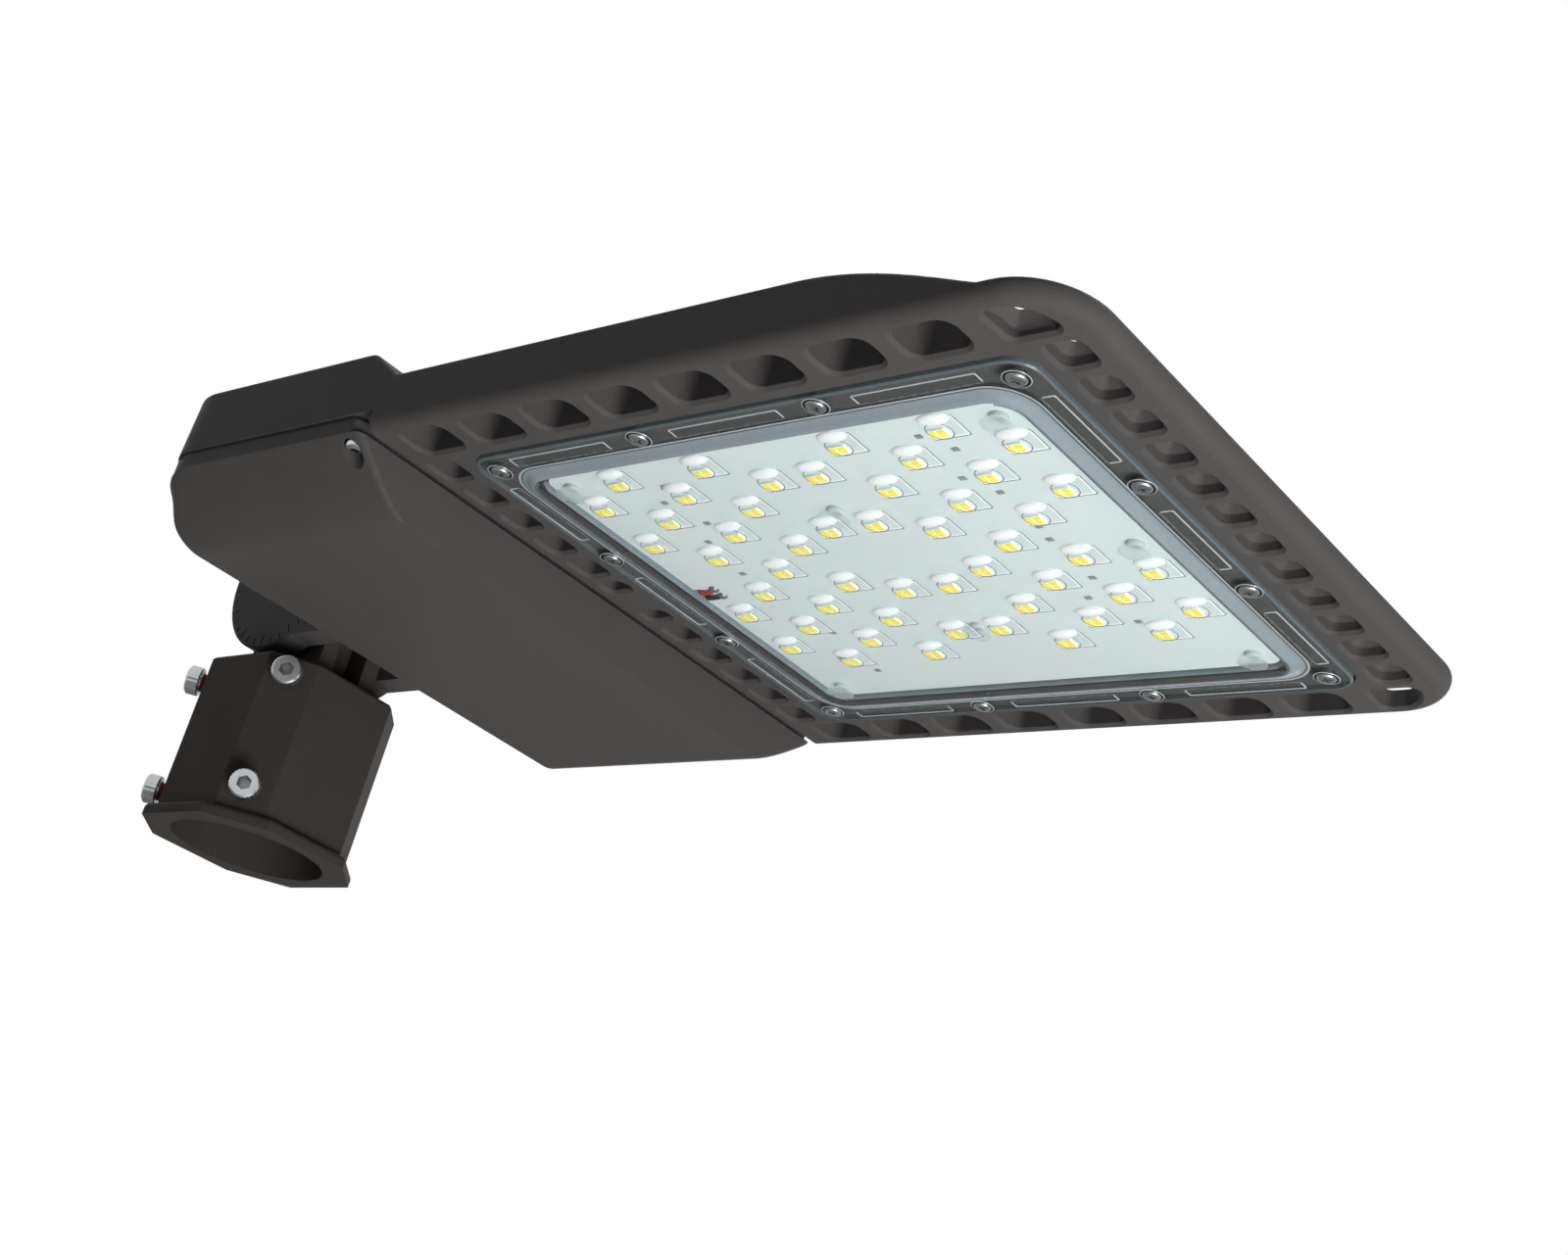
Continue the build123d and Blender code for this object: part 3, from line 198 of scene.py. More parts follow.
# Phosphor in clear silicone: strong yellow and soft, with a faint painted glow, though the LEDs are not lit.
phosphor_painted_glow = speckled("phosphor_silicone_painted_glow", ("#F2D300", "#FFE808"), mottle_mm=1.2, grain_mm=0.3,
                    roughness=(0.25, 0.35), grain_lift=0.02,
                    Emission_Color=(0.9, 0.75, 0.01, 1.0), Emission_Strength=0.25)
# Stainless steel, turned and tumbled: bright with fine uneven gloss.
stainless = speckled("stainless_steel", ("#B9BBBD", "#D3D5D6"), mottle_mm=3, grain_mm=0.4,
                     roughness=(0.22, 0.38), grain_lift=0.03, Metallic=1.0)
# Zinc flake paint on the board screws: pale grey and dull.
screw_grey = speckled("zinc_flake_grey", ("#B2BAB9", "#C6CDCB"), mottle_mm=1.6, grain_mm=0.4,
                      roughness=(0.55, 0.7), grain_lift=0.05)
# Zinc plate on steel: bright, slightly blue, clouded.
zinc = speckled("zinc_plated_steel", ("#A9ACAF", "#D4D7D9"), mottle_mm=2.5, grain_mm=0.5,
                roughness=(0.24, 0.4), grain_lift=0.05, Metallic=1.0)
# The inside of a drive socket: near black, as painted shade.
socket_painted_shade = speckled("socket_steel_painted_shade", ("#1C1C1D", "#343536"), mottle_mm=1.5, grain_mm=0.4,
                       roughness=(0.35, 0.5), grain_lift=0.05, Metallic=0.6)
# The sockets of the clamp screws: plated inside too, drawn a darker grey as painted half shade.
socket_painted_half_shade = speckled("socket_steel_plated_painted_half_shade", ("#77797B", "#9A9C9E"), mottle_mm=1.5, grain_mm=0.4,
                         roughness=(0.3, 0.45), grain_lift=0.05, Metallic=0.9)
# Dried thread lock: brick red, chalky.
thread_lock = speckled("thread_lock_red", ("#7D2A24", "#A34238"), mottle_mm=1.5, grain_mm=0.4,
                       roughness=(0.5, 0.7), grain_lift=0.1)
# Silicone rubber, moulded: black and matt.
silicone = speckled("silicone_black", ("#161616", "#242424"), mottle_mm=6, grain_mm=0.6,
                    roughness=(0.6, 0.75), grain_lift=0.05)
# Filled silicone sheet: soft grey, dull.
pad_grey = speckled("thermal_pad_grey", ("#83868A", "#979A9D"), mottle_mm=8, grain_mm=0.7,
                    roughness=(0.7, 0.85), grain_lift=0.05)
# Drawn aluminium: pale grey, satin.
drawn_aluminium = speckled("drawn_aluminium", ("#A7A9AB", "#BFC1C3"), mottle_mm=12, grain_mm=0.4,
                           roughness=(0.35, 0.5), grain_lift=0.03, edge_mm=0.4, Metallic=1.0)
# Flame-proof nylon: moulded, matt; black and cream.
nylon = dict(mottle_mm=9, grain_mm=0.6, roughness=(0.5, 0.65), grain_lift=0.05, edge_mm=0.3)
nylon_black = speckled("nylon_black", ("#1B1B1C", "#2A2A2B"), **nylon)
nylon_cream = speckled("nylon_cream", ("#D6D0BD", "#E2DDCC"), **nylon)
# PVC insulation: smooth, a soft shine; red, black and white.
pvc = dict(mottle_mm=3, grain_mm=0.5, roughness=(0.35, 0.5), grain_lift=0.03)
pvc_red = speckled("pvc_red", ("#A3161B", "#BF2A2D"), **pvc)
pvc_black = speckled("pvc_black", ("#141414", "#222222"), **pvc)
pvc_white = speckled("pvc_white", ("#D9D9D4", "#E8E8E4"), **pvc)
# Pressed fibre: brown, dry and matt.
fibre = speckled("pressed_fibre", ("#4C3A2A", "#6A523C"), mottle_mm=3, grain_mm=0.5,
                 roughness=(0.75, 0.9), grain_lift=0.15)
# Tinned copper and solder: small, silvery, uneven.
solder = speckled("solder_tin", ("#9C9FA1", "#C2C5C6"), mottle_mm=0.8, grain_mm=0.3,
                  roughness=(0.25, 0.4), grain_lift=0.1, Metallic=1.0)
# Epoxy of small board parts: grey, dull.
epoxy_grey = speckled("epoxy_grey", ("#757B7D", "#8F9596"), mottle_mm=0.9, grain_mm=0.3,
                      roughness=(0.5, 0.6), grain_lift=0.05)
# Studio paper: pale and matt.
studio_paper = speckled("studio_paper", ("#EDEDEB", "#F3F3F1"), mottle_mm=120, grain_mm=6,
                        roughness=(0.8, 0.9), grain_lift=0.02)

FINISHES = {
    "slip_fitter": powder_coat_fitter, "heat_sink_housing": powder_coat, "driver_box": powder_coat,
    "led_board": solder_mask, "thermal_pad": pad_grey, "lens_gasket": silicone, "box_gasket": silicone,
    "lead_grommet": silicone, "inlet_grommet": silicone, "lens_screws": stainless, "board_screws": screw_grey,
    "box_screws": zinc, "driver_screws": stainless, "surge_screws": stainless, "terminal_screws": stainless,
    "led_driver": drawn_aluminium, "surge_protector": nylon_black, "terminal_block": nylon_cream,
    "led_lead_red": pvc_red, "led_lead_black": pvc_black, "input_leads": pvc_black, "surge_leads": pvc_white,
    "pivot_bolt": zinc, "pivot_nut": zinc, "pivot_washers": zinc, "friction_washers": fibre,
    "lens_plate": lens_clear, "led_packages": package_white, "clamp_bolt_front_upper": zinc,
    "clamp_bolt_front_lower": zinc, "clamp_bolt_rear_upper": zinc, "clamp_bolt_rear_lower": zinc,
}
for name, material in FINISHES.items():
    nodes[name].data.materials.clear()
    nodes[name].data.materials.append(material)


# Pieces: drawn in millimetres, then put in place in metres

board_low, board_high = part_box("led_board")
field_x = (board_low.x + board_high.x) / 2
rim_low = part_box("heat_sink_housing")[0].z
# The lens face: its own +Z looks out of the LEDs, world -Z; its Y runs against world Y; 0 is the rim's underside.
LENS_FACE = (Matrix.Translation((field_x, 0, rim_low)) @ Matrix.Rotation(math.pi, 4, "X")
             @ Matrix.Scale(MM, 4))
# Heights on it: the board's white face, the flat frame of the lens plate and its window.
BOARD_FACE = (rim_low - board_low.z) / MM
FRAME_FACE = 1.5
FIELD_FACE = 3.2


def settle(bm):
    """Puts corners and faces in a fixed order, so that each run gives the same mesh."""
    for kind, spot in ((bm.verts, lambda v: v.co[:]), (bm.faces, lambda f: f.calc_center_median()[:])):
        for i, element in enumerate(sorted(kind, key=spot)):
            element.index = i
        kind.sort()


def piece(name, bm, place, materials, body, smooth_deg=35):
    """Finishes a bmesh as an object that rides on a body."""
    settle(bm)
    bmesh.ops.transform(bm, matrix=place, verts=bm.verts)
    bmesh.ops.recalc_face_normals(bm, faces=bm.faces)
    for edge in bm.edges:
        edge.smooth = len(edge.link_faces) == 2 and edge.calc_face_angle(0) < math.radians(smooth_deg)
    for face in bm.faces:
        face.smooth = True
    mesh = bpy.data.meshes.new(name)
    bm.to_mesh(mesh)
    bm.free()
    for material in materials:
        mesh.materials.append(material)
    made = bpy.data.objects.new(name, mesh)
    bpy.context.scene.collection.objects.link(made)
    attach(made, body)
    return made


def face_piece(name, bm, materials):
    """A piece drawn on the lens face, which rides on the head."""
    return piece(name, bm, LENS_FACE, materials, "head")


def edges_of(corners):
    """The edges that meet these corners, each once and in a fixed order."""
    return list(dict.fromkeys(e for v in corners for e in v.link_edges))


def outline(bm, half_x, half_y, corner, z, x, y, count):
    """The edges of a rectangle with rounded corners, or of a circle where the corners meet."""
    if corner == half_x == half_y:
        place = Matrix.Translation((x, y, z))
        verts = bmesh.ops.create_circle(bm, cap_ends=False, radius=corner, segments=count, matrix=place)["verts"]
        return edges_of(verts)
    place = Matrix.Translation((x, y, z)) @ Matrix.Diagonal((half_x, half_y, 1, 1))
    grid = bmesh.ops.create_grid(bm, x_segments=1, y_segments=1, size=1.0, matrix=place)
    made = bmesh.ops.bevel(bm, geom=grid["verts"], offset=corner, segments=count, profile=0.5, affect="VERTICES",
                           material=-1)
    edges = edges_of(made["verts"])
    faces = list(dict.fromkeys(f for e in edges for f in e.link_faces))
    bmesh.ops.delete(bm, geom=faces, context="FACES_ONLY")
    return edges


def pull(bm, loop, reshape, look=0):
    """Extrudes a loop of edges, moves each new corner and gives back the new loop."""
    made = bmesh.ops.extrude_edge_only(bm, edges=loop)["geom"]
    corners = {g for g in made if isinstance(g, bmesh.types.BMVert)}
    for corner in corners:
        reshape(corner)
    for g in made:
        if isinstance(g, bmesh.types.BMFace):
            g.material_index = look
    return [g for g in made if isinstance(g, bmesh.types.BMEdge) and corners.issuperset(g.verts)]


def cap(bm, loop, look=0):
    """Closes a loop of edges with a face."""
    for face in bmesh.ops.contextual_create(bm, geom=loop)["faces"]:
        face.material_index = look


def sleeve(bm, rings, looks=None, x=0.0, y=0.0, count=8, closed_start=False, closed_end=False):
    """A skin pulled through rings of (half length, half width, corner radius, height), each band with its own look."""
    looks = looks or [0] * (len(rings) - 1)
    loop = outline(bm, *rings[0], x, y, count)
    if closed_start:
        cap(bm, loop, looks[0])
    for old, new, look in zip(rings, rings[1:], looks):
        def reshape(v, old=old, new=new):
            for axis, middle in ((0, x), (1, y)):
                off = v.co[axis] - middle
                side = math.copysign(1, off)
                bend = (off - side * (old[axis] - old[2])) * new[2] / old[2]
                v.co[axis] = middle + side * (new[axis] - new[2]) + bend
            v.co.z = new[3]
        loop = pull(bm, loop, reshape, look)
    if closed_end:
        cap(bm, loop, looks[-1])
    return loop


def turned(bm, rings, looks=None, **settings):
    """A round skin through rings of (radius, height)."""
    return sleeve(bm, [(r, r, r, z) for r, z in rings], looks, **settings)


def raised(rings, base):
    """Rings of (radius, height) with their heights counted from a base."""
    return [(r, base + z) for r, z in rings]


def block(bm, middle, size):
    """A plain block; gives back its corners."""
    place = Matrix.Translation(middle) @ Matrix.Diagonal((*size, 1))
    return bmesh.ops.create_cube(bm, size=1.0, matrix=place)["verts"]


def repeated(draw, places):
    """One shape drawn once and set down at each place."""
    first = bmesh.new()
    draw(first)
    shape = bpy.data.meshes.new("shape")
    first.to_mesh(shape)
    first.free()
    bm = bmesh.new()
    for x, y in places:
        count = len(bm.verts)
        bm.from_mesh(shape)
        bm.verts.ensure_lookup_table()
        bmesh.ops.translate(bm, vec=(x, y, 0), verts=bm.verts[count:])
    bpy.data.meshes.remove(shape)
    return bm


# Where each column's LEDs stand across the board, by the column's distance from the middle in columns.
LED_ROWS = {
    0.5: (-54, -22, 22, 54), 1.5: (-67.5, -40.5, -13.5, 13.5, 40.5, 67.5), 2.5: (-54, -27, 0, 27, 54),
    3.5: (-67.5, -40.5, -13.5, 13.5, 40.5, 67.5), 4.5: (-54, -27, 27, 54)}
COLUMNS = [i + 0.5 for i in range(-5, 5)]
# The lenses show their LEDs closer together and moved towards the near side; the packages are drawn where they show.
SHOWN_PITCH, SHOWN_ROWS = 18.5, 0.94
SHOWN_X, SHOWN_Y, SHOWN_TOP = -1.8, 8.1, 0.6
# The line of the lens screws, and how far those at the corners are set in from it.
SCREW_X, SCREW_Y, SCREW_CORNER = 107.5, 95.5, 4.0
BOARD_SCREWS = [(-86, -74.5), (-86, 74.5), (86, -74.5), (86, 74.5), (0, -40), (0, 40), (86, 0)]
# Small parts of the board, as (x, y) from its middle.
BOARD_PARTS = [(-51, 67), (-59, 58), (-53, 43), (-62, 32), (-65, 10), (-67, -23), (-60, -35), (-69, -52), (-62, -65),
               (55, 71), (62, 62), (54, 47), (61, 37), (61, 16), (60, 8), (60, -17), (51, -29), (59, -47)]
LEAD_ENDS = [(-85, -2.4), (-85, 2.4)]


def led_places():
    """The LEDs as (x, y) from the middle of the board, as the lenses show them."""
    return [(column * SHOWN_PITCH + SHOWN_X, y * SHOWN_ROWS + SHOWN_Y)
            for column in COLUMNS for y in LED_ROWS[abs(column)]]


def lens_screw_places():
    """The lens screws as (x, y): one at each corner and two on each side."""
    corner_x, corner_y = SCREW_X - SCREW_CORNER, SCREW_Y - SCREW_CORNER
    corners = [(x, y) for x in (-corner_x, corner_x) for y in (-corner_y, corner_y)]
    sides = [(x, y) for x in (-SCREW_X / 3, SCREW_X / 3) for y in (-SCREW_Y, SCREW_Y)]
    return corners + sides + [(x, y) for x in (-SCREW_X, SCREW_X) for y in (-SCREW_Y / 3, SCREW_Y / 3)]


# The lens plate: how much longer than wide it is at each end, the looks of its bands, and where the near side's
# shoulder faces the light and so is left clear of painted shade.
LONGER = 12.0
CLEAR, SHOULDER_SHEEN, PAINTED_SHADE, HIGHLIGHT_LINE = range(4)
NEAR_Y, NEAR_Z = 84.5, 3.25


def lens_plate():
    """The clear plate: a flat frame with a line of painted highlight, and a flat window that rises from it over a
    rounded shoulder in painted sheen and shade.
    """
    bm = bmesh.new()
    # Half length, corner radius, height and the look of the band that follows: from the back of the window out under
    # the frame, round the frame's edge and back over the shoulder to the front of the window.
    section = [
        (94.4, 6.4, 1.8, CLEAR), (95.2, 7.2, 1.2, SHOULDER_SHEEN), (95.2, 7.2, -1.45, CLEAR), (111.4, 8.4, -1.45, CLEAR),
        (112.0, 9.0, -0.9, PAINTED_SHADE), (112.0, 9.0, 1.0, PAINTED_SHADE), (111.5, 8.5, FRAME_FACE, PAINTED_SHADE),
        (111.2, 8.3, FRAME_FACE, CLEAR), (103.2, 14.0, FRAME_FACE, HIGHLIGHT_LINE), (102.6, 13.5, FRAME_FACE, PAINTED_SHADE),
        (101.9, 13.0, FRAME_FACE, SHOULDER_SHEEN), (100.9, 12.2, 1.7, SHOULDER_SHEEN), (99.9, 11.4, 2.3, SHOULDER_SHEEN),
        (98.9, 10.6, 2.9, SHOULDER_SHEEN), (97.6, 9.6, 3.3, PAINTED_SHADE), (96.6, 8.8, FIELD_FACE + 0.15, CLEAR),
        (94.8, 7.4, FIELD_FACE, CLEAR), (94.4, 7.1, FIELD_FACE, CLEAR)]
    rings = [(half, half - LONGER, corner, z) for half, corner, z, _ in section]
    sleeve(bm, rings, [look for *_, look in section[:-1]], closed_start=True, closed_end=True)
    # On the near side, which faces the light, the top band of the shoulder is left clear instead of painted shade.
    for face in bm.faces:
        middle = face.calc_center_median()
        if middle.y > NEAR_Y and middle.z > NEAR_Z:
            face.material_index = CLEAR
    return bm


# The pockets of the frame: spacing along each side, the lines they lie on, half lengths, half width and corners.
POCKET_STEP_X, POCKET_STEP_Y = 71.7, 63.7
POCKET_X, POCKET_Y = 107.0, 95.0
POCKET_LONG_X, POCKET_LONG_Y, POCKET_HALF_W, POCKET_ROUND = 22, 18, 2.6, 0.95


def frame_pockets():
    """Shallow pockets between the screws, each with a rim of painted highlight on its outer side and one of painted
    shade on its inner side.
    """
    bm = bmesh.new()
    for i in (-1, 0, 1):
        for s in (-1, 1):
            for x, y, half_x, half_y in ((i * POCKET_STEP_X, s * POCKET_Y, POCKET_LONG_X, POCKET_HALF_W),
                                         (s * POCKET_X, i * POCKET_STEP_Y, POCKET_HALF_W, POCKET_LONG_Y)):
                rings = [(half_x - inset, half_y - inset, POCKET_ROUND - inset, FRAME_FACE + z)
                         for inset, z in ((0, 0.01), (0.1, 0.16), (0.5, 0.16), (0.6, 0.01))]
                sleeve(bm, rings, x=x, y=y, count=3)
    # Faces on each pocket's inner side take the painted shade.
    for face in bm.faces:
        middle = face.calc_center_median()
        if abs(middle.x) < POCKET_X - 0.5 and abs(middle.y) < POCKET_Y - 0.5:
            face.material_index = 1
    return bm


def screw_sink(bm):
    """The hollow round a lens screw, near black as painted shade, with a lip of painted highlight."""
    rings = [(4.4, 0.01), (4.3, 0.15), (4.1, 0.15), (3.9, 0.05), (3.35, 0.05)]
    turned(bm, raised(rings, FRAME_FACE), [0, 0, 1, 1], count=28)


# From an LED to the domed part of its lens, to the middle of its block and to its ring; each lens throws its light
# forward.
DOME_X, DOME_Y, DOME_HALF = 6.2, 11.0, (5.6, 2.8, 1.5)
BLOCK_X, BLOCK_Y, BLOCK_HALF_X, BLOCK_HALF_Y, BLOCK_H = 7.4, 7.2, 7.1, 6.0, 0.92
RING_X, RING_Y = 5.2, 5.8
# The looks of a lens: index 0 is the clear plastic here too; the ring takes the painted-shade grey.
SHADED_EDGE, RING, MILKY_HIGHLIGHT = 1, 2, 3
# The block's edges carry painted shade and milky painted highlight past these distances from its middle, on the front
# and the far side.
EDGE_FRONT, EDGE_FAR = 5.4, -4


def optic(bm):
    """One lens: a low dome on the near side in milky painted highlight, then a clear block with edges in painted shade
    and highlight, and a fine ring over the LED.
    """
    low = FIELD_FACE - 0.1
    bmesh.ops.create_uvsphere(bm, u_segments=20, v_segments=12, radius=1.0,
                              matrix=Matrix.Translation((DOME_X, DOME_Y, low)) @ Matrix.Diagonal((*DOME_HALF, 1)))
    bmesh.ops.bisect_plane(bm, geom=bm.verts[:] + bm.edges[:] + bm.faces[:], plane_co=(0, 0, low), plane_no=(0, 0, 1),
                           clear_inner=True)
    for face in bm.faces:
        face.material_index = MILKY_HIGHLIGHT
    dome = set(bm.faces)
    rings = [(BLOCK_HALF_X - inset, BLOCK_HALF_Y - inset, corner, low + z) for inset, corner, z in (
        (0, 1.3, 0), (0.1, 1.2, 0.65), (0.4, 0.9, 0.9), (0.8, 0.6, 0.91), (1.5, 0.3, BLOCK_H))]
    sleeve(bm, rings, [CLEAR, CLEAR, SHADED_EDGE, MILKY_HIGHLIGHT], x=BLOCK_X, y=BLOCK_Y, count=3, closed_end=True)
    for face in set(bm.faces) - dome:
        off = face.calc_center_median() - Vector((BLOCK_X, BLOCK_Y, low))
        if off.x < EDGE_FRONT and off.y > EDGE_FAR:
            face.material_index = CLEAR
    ring = raised([(4.5, 0), (4.4, 0.05), (4.2, 0.05), (4.1, 0)], low + BLOCK_H)
    turned(bm, ring, [RING, RING, RING], x=RING_X, y=RING_Y, count=20)


def dimple(bm):
    """A shallow cone moulded in the window over a board screw."""
    rings = [(5.2, 0.01), (4.6, 0.1), (2.2, 0.35), (0.9, 0.12)]
    turned(bm, raised(rings, FIELD_FACE), count=24, closed_end=True)


# An LED package's length and width, and the size and places of its dies.
PACKAGE_L, PACKAGE_W = 6.4, 5.2
DIE_SIZE, DIE_X, DIE_Y = (2.6, 1.95, 0.2), 1.65, 1.2


def led_package(bm):
    """A white package with four yellow dies, as wide as its lens shows it."""
    height = SHOWN_TOP - BOARD_FACE
    body = block(bm, (0, 0, BOARD_FACE + height / 2), (PACKAGE_L, PACKAGE_W, height))
    upright = [e for e in edges_of(body) if abs(e.verts[0].co.z - e.verts[1].co.z) > height / 2]
    bmesh.ops.bevel(bm, geom=upright, offset=0.4, segments=2, profile=0.5, affect="EDGES", material=-1)
    for dx in (-DIE_X, DIE_X):
        for dy in (-DIE_Y, DIE_Y):
            for v in block(bm, (dx, dy, SHOWN_TOP), DIE_SIZE):
                for f in v.link_faces:
                    f.material_index = 1


def board_part(bm):
    """A low chip with rounded corners."""
    rings = [(r, 0.75 * r, 0.25, BOARD_FACE + z) for r, z in ((1.3, 0.0), (1.3, 0.2), (1.1, 0.32))]
    sleeve(bm, rings, count=2, closed_end=True)


def solder_joint(bm):
    """A low mound of solder over the end of a lead."""
    rings = [(2.0, 0.0), (1.8, 0.5), (1.3, 0.9), (0.6, 1.05)]
    turned(bm, raised(rings, BOARD_FACE), count=16, closed_end=True)


plate = face_piece("lens_plate_moulding", lens_plate(), [lens_clear, lens_shoulder_painted_sheen, lens_painted_shade, lens_painted_highlight])
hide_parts("lens_plate")
face_piece("lens_frame_pockets", frame_pockets(), [lens_painted_highlight, lens_painted_dark_edge])
face_piece("lens_screw_sinks", repeated(screw_sink, lens_screw_places()), [lens_painted_highlight, socket_painted_shade])
face_piece("lens_optics", repeated(optic, led_places()), [lens_clear, lens_painted_dark_edge, lens_painted_shade, lens_milky_highlight])
face_piece("lens_dimples", repeated(dimple, BOARD_SCREWS), [lens_dull])
packages = face_piece("led_packages_lit", repeated(led_package, led_places()), [package_white, phosphor_painted_glow])
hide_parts("led_packages")
face_piece("board_small_parts", repeated(board_part, BOARD_PARTS), [epoxy_grey])
face_piece("board_solder_joints", repeated(solder_joint, LEAD_ENDS), [solder])

# The openings along the front of the rim, and the near corner's.
FRONT_HOLES, FRONT_X, FRONT_PITCH = 12, 122.7, 17.25
CORNER_X, CORNER_Y = 117.6, 112.4


def rim_hole_walls():
    """The drafted walls of the twelve openings at the front and of a corner opening, which narrow upwards."""
    bm = bmesh.new()
    front = [(5.85, 5.75, 3.1, -1.5), (5.6, 5.5, 2.9, -4.0), (2.8, 2.7, 1.2, -6.8)]
    for i in range(FRONT_HOLES):
        sleeve(bm, front, x=FRONT_X, y=FRONT_PITCH * (i + 0.5 - FRONT_HOLES / 2), count=3)
    corner = [(8.2, 7.2, 3.3, -2.0), (7.6, 6.6, 3.0, -4.0), (4.0, 3.0, 1.4, -6.9)]
    sleeve(bm, corner, x=CORNER_X, y=CORNER_Y, count=3)
    return bm


face_piece("rim_hole_walls", rim_hole_walls(), [powder_coat])
# The height of the box screws' inner ends, and where the screws stand.
SCREW_END = (rim_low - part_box("box_screws")[1].z) / MM
BOX_SCREWS = [(-148.5, -118), (-148.5, 118)]


def box_screw(bm):
    """A pan-head screw with a round socket, whose head fills the dimple it sits in."""
    steel = [(1.9, SCREW_END), (2.0, SCREW_END + 0.4), (2.0, -2.5), (3.5, -2.5), (3.5, 1.0), (3.2, 1.7), (2.4, 2.1),
             (1.5, 2.2)]
    # The socket is drawn near black, as painted shade.
    socket = [(1.3, 2.0), (1.2, 0.6)]
    turned(bm, steel + socket, [0] * (len(steel) - 1) + [1] * len(socket), count=28, closed_start=True,
           closed_end=True)


screws = face_piece("box_screw_heads", repeated(box_screw, BOX_SCREWS), [stainless, socket_painted_shade])
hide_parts("box_screws")


# Clamp screws; FACET is from the tube's axis to the flat they stand on.
FACET, BORE_R, STAND, HEAD_H = 37.55, 31.25, 3.6, 5.5
THREAD_R, ROOT_R, PITCH, HEAD_R, SOCKET = 3.95, 3.45, 1.2, 6.0, 2.5
# How far the knurl's grooves reach, as a share of the head's radius.
KNURL = 0.965
# Heights of the clamp screws on the tube, and the angles of the flats they stand on.
UPPER, LOWER, FRONT, REAR = 62.5, 14, -45, -135


def clamp_screw():
    """A low cap screw: knurled head with a hex socket, threads below; z = 0 is the flat it stands off."""
    bm = bmesh.new()
    tip = BORE_R + 0.4 - FACET
    rings = [(3.2, tip), (THREAD_R, tip + 0.8)]
    z = tip + PITCH
    while z < STAND - 0.7:
        rings += [(ROOT_R, z), (THREAD_R, z + PITCH / 2)]
        z += PITCH
    face = STAND + HEAD_H
    rings += [(3.9, STAND), (5.6, STAND), (HEAD_R, STAND + 0.4), (HEAD_R, face - 0.7), (5.3, face), (3.4, face)]
    loop = turned(bm, rings, count=48, closed_start=True)

    def hexagon(v, flat, z):
        turn = math.atan2(v.co.y, v.co.x) % (math.pi / 3) - math.pi / 6
        v.co.xy = v.co.xy.normalized() * flat / math.cos(turn)
        v.co.z = z
    # The socket's walls and floor take a darker grey, as painted half shade.
    for flat, z, look in ((SOCKET + 0.1, face, 0), (SOCKET, face - 0.15, 2), (SOCKET, face - 3, 2)):
        loop = pull(bm, loop, lambda v: hexagon(v, flat, z), look)
    cap(bm, loop, 2)
    rim = sorted((v for v in bm.verts if v.co.xy.length > HEAD_R - 0.05),
                 key=lambda v: (math.atan2(v.co.y, v.co.x), v.co.z))
    bmesh.ops.scale(bm, vec=(KNURL, KNURL, 1), verts=[v for i, v in enumerate(rim) if (i // 2) % 2])
    # The thread that shows between the flat and the head carries the thread lock.
    for f in bm.faces:
        middle = f.calc_center_median()
        if 0.2 < middle.z < STAND - 0.3 and middle.xy.length < THREAD_R + 0.25:
            f.material_index = 1
    return bm


for spot, angle, height in (("front_upper", FRONT, UPPER), ("front_lower", FRONT, LOWER), ("rear_upper", REAR, UPPER),
                            ("rear_lower", REAR, LOWER)):
    stand_off = (Matrix.Rotation(math.radians(angle), 4, "Z") @ Matrix.Translation((FACET * MM, 0, height * MM))
                 @ Matrix.Rotation(math.pi / 2, 4, "Y") @ Matrix.Scale(MM, 4))
    bolt = piece("clamp_screw_" + spot, clamp_screw(), stand_off, [zinc, thread_lock, socket_painted_half_shade], "clamp_" + spot,
                 25)
    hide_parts("clamp_bolt_" + spot)


# Camera, light and stage

scene = bpy.context.scene
# The picture's width and the focal length in its pixels, and the sensor's width in millimetres.
PICTURE_W, FOCAL, SENSOR = 1600, 2298, 36.0
camera = bpy.data.objects.new("camera", bpy.data.cameras.new("camera"))
scene.collection.objects.link(camera)
# The camera's right, up and back in the columns, and its place from the middle of the rim.
camera.matrix_world = Matrix((
    (0.75185, 0.07582, 0.65496, field_x + 0.4474),
    (0.61095, -0.45362, -0.64882, -0.4916),
    (0.24791, 0.88796, -0.38738, rim_low - 0.3104),
    (0, 0, 0, 1)))
camera.data.sensor_fit = "HORIZONTAL"
camera.data.sensor_width = SENSOR
camera.data.lens = SENSOR * FOCAL / PICTURE_W
camera.data.clip_start = 0.01
scene.camera = camera

centre = (Vector(cad_box[0]) + Vector(cad_box[1])) / 2
# The lamps: place from the middle of the part, size in metres and power in watts.
LAMPS = {"key": ((0.95, -0.1, -0.8), 0.7, 15.5), "low": ((0.4, -0.15, -0.85), 0.9, 1.0),
         "top": ((0.5, 0.4, 1.4), 1.2, 9)}
# The white room lights the part by this much of what the eye sees of it.
AMBIENT = 0.12
FLOOR_R, FLOOR_Z, FLOOR_GLOW = 5.0, -1.0, 0.5


def lamp(name, offset, size, power):
    """A round soft lamp that faces the middle of the part."""
    made = bpy.data.objects.new(name, bpy.data.lights.new(name, "AREA"))
    made.data.shape = "DISK"
    made.data.size = size
    made.data.energy = power
    made.location = centre + Vector(offset)
    made.rotation_mode = "QUATERNION"
    made.rotation_quaternion = (centre - made.location).to_track_quat("-Z", "Y")
    # Its light already goes through the clear plate by pass_light, so rays through the plate don't count it again.
    made.visible_transmission = False
    scene.collection.objects.link(made)


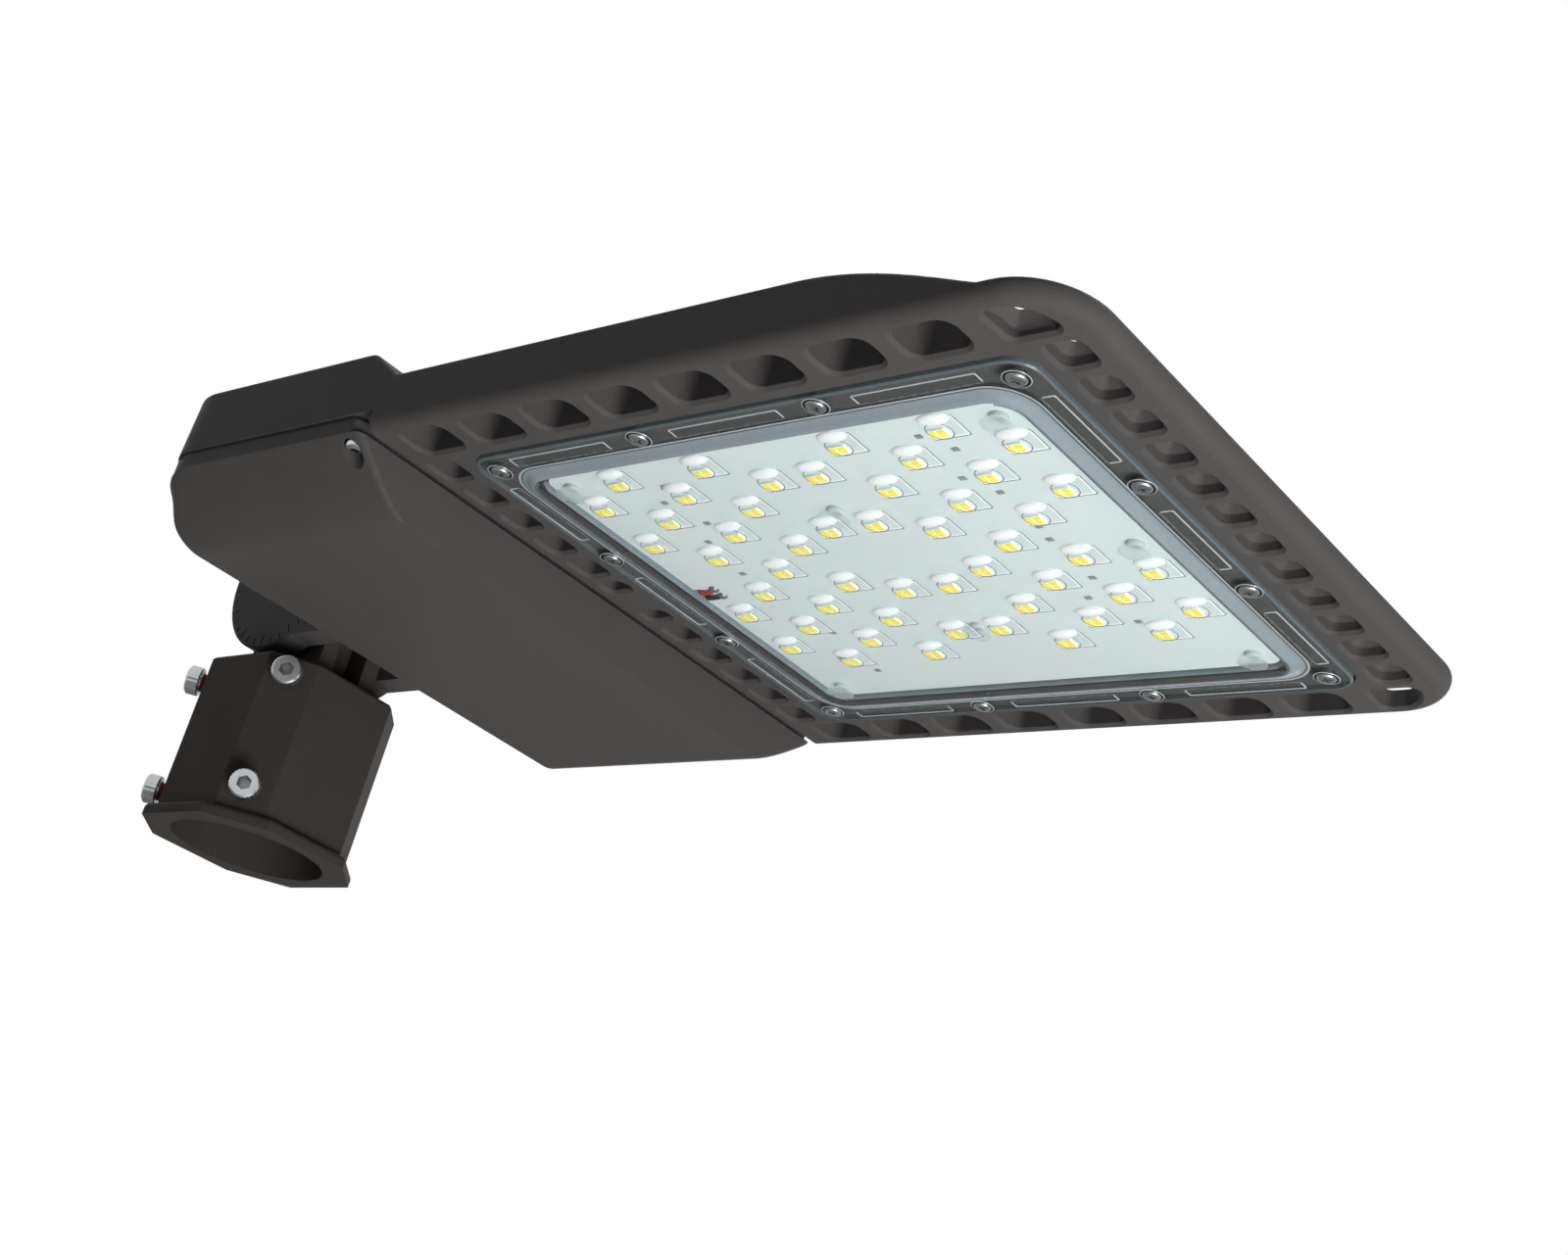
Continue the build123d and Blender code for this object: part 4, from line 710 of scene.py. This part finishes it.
def floor():
    """A wide pale floor under the light, seen from above only."""
    tree = studio_paper.node_tree
    paper = next(n for n in tree.nodes if n.type == "BSDF_PRINCIPLED")
    end = next(n for n in tree.nodes if n.type == "OUTPUT_MATERIAL")
    # The paper glows a little for the camera alone, so that it looks pale and still takes the shadow.
    path = add(tree, "ShaderNodeLightPath")
    lifted = add(tree, "ShaderNodeMath", {0: path.outputs["Is Camera Ray"], 1: FLOOR_GLOW}, operation="MULTIPLY")
    paper.inputs["Emission Color"].default_value = linear("#F3F3F1")
    tree.links.new(lifted.outputs[0], paper.inputs["Emission Strength"])
    side = add(tree, "ShaderNodeNewGeometry")
    clear = add(tree, "ShaderNodeBsdfTransparent")
    sheet = add(tree, "ShaderNodeMixShader", {0: side.outputs["Backfacing"], 1: paper.outputs["BSDF"],
                                              2: clear.outputs["BSDF"]})
    tree.links.new(sheet.outputs[0], end.inputs["Surface"])
    bm = bmesh.new()
    bmesh.ops.create_circle(bm, cap_ends=True, radius=FLOOR_R, segments=96,
                            matrix=Matrix.Translation((centre.x, 0, FLOOR_Z)))
    mesh = bpy.data.meshes.new("floor")
    bm.to_mesh(mesh)
    bm.free()
    mesh.materials.append(studio_paper)
    made = bpy.data.objects.new("floor", mesh)
    scene.collection.objects.link(made)


def room():
    """A white room to the eye, in reflections and through the plate, which lights the part only a little."""
    world = bpy.data.worlds.new("studio")
    scene.world = world
    world.use_nodes = True
    sky = world.node_tree
    sky.nodes.clear()
    path = add(sky, "ShaderNodeLightPath")
    seen = add(sky, "ShaderNodeMath", {0: path.outputs["Is Camera Ray"], 1: path.outputs["Is Glossy Ray"]},
               operation="ADD")
    shown = add(sky, "ShaderNodeMath", {0: seen.outputs[0], 1: path.outputs["Is Transmission Ray"]}, operation="ADD")
    glow = add(sky, "ShaderNodeMapRange", {"Value": shown.outputs[0], "To Min": AMBIENT, "To Max": 1.0})
    light = add(sky, "ShaderNodeBackground", {"Color": (1, 1, 1, 1), "Strength": glow.outputs[0]})
    add(sky, "ShaderNodeOutputWorld", {"Surface": light.outputs[0]})


for name, settings in LAMPS.items():
    lamp(name, *settings)
floor()
room()
scene.view_settings.view_transform = "Standard"
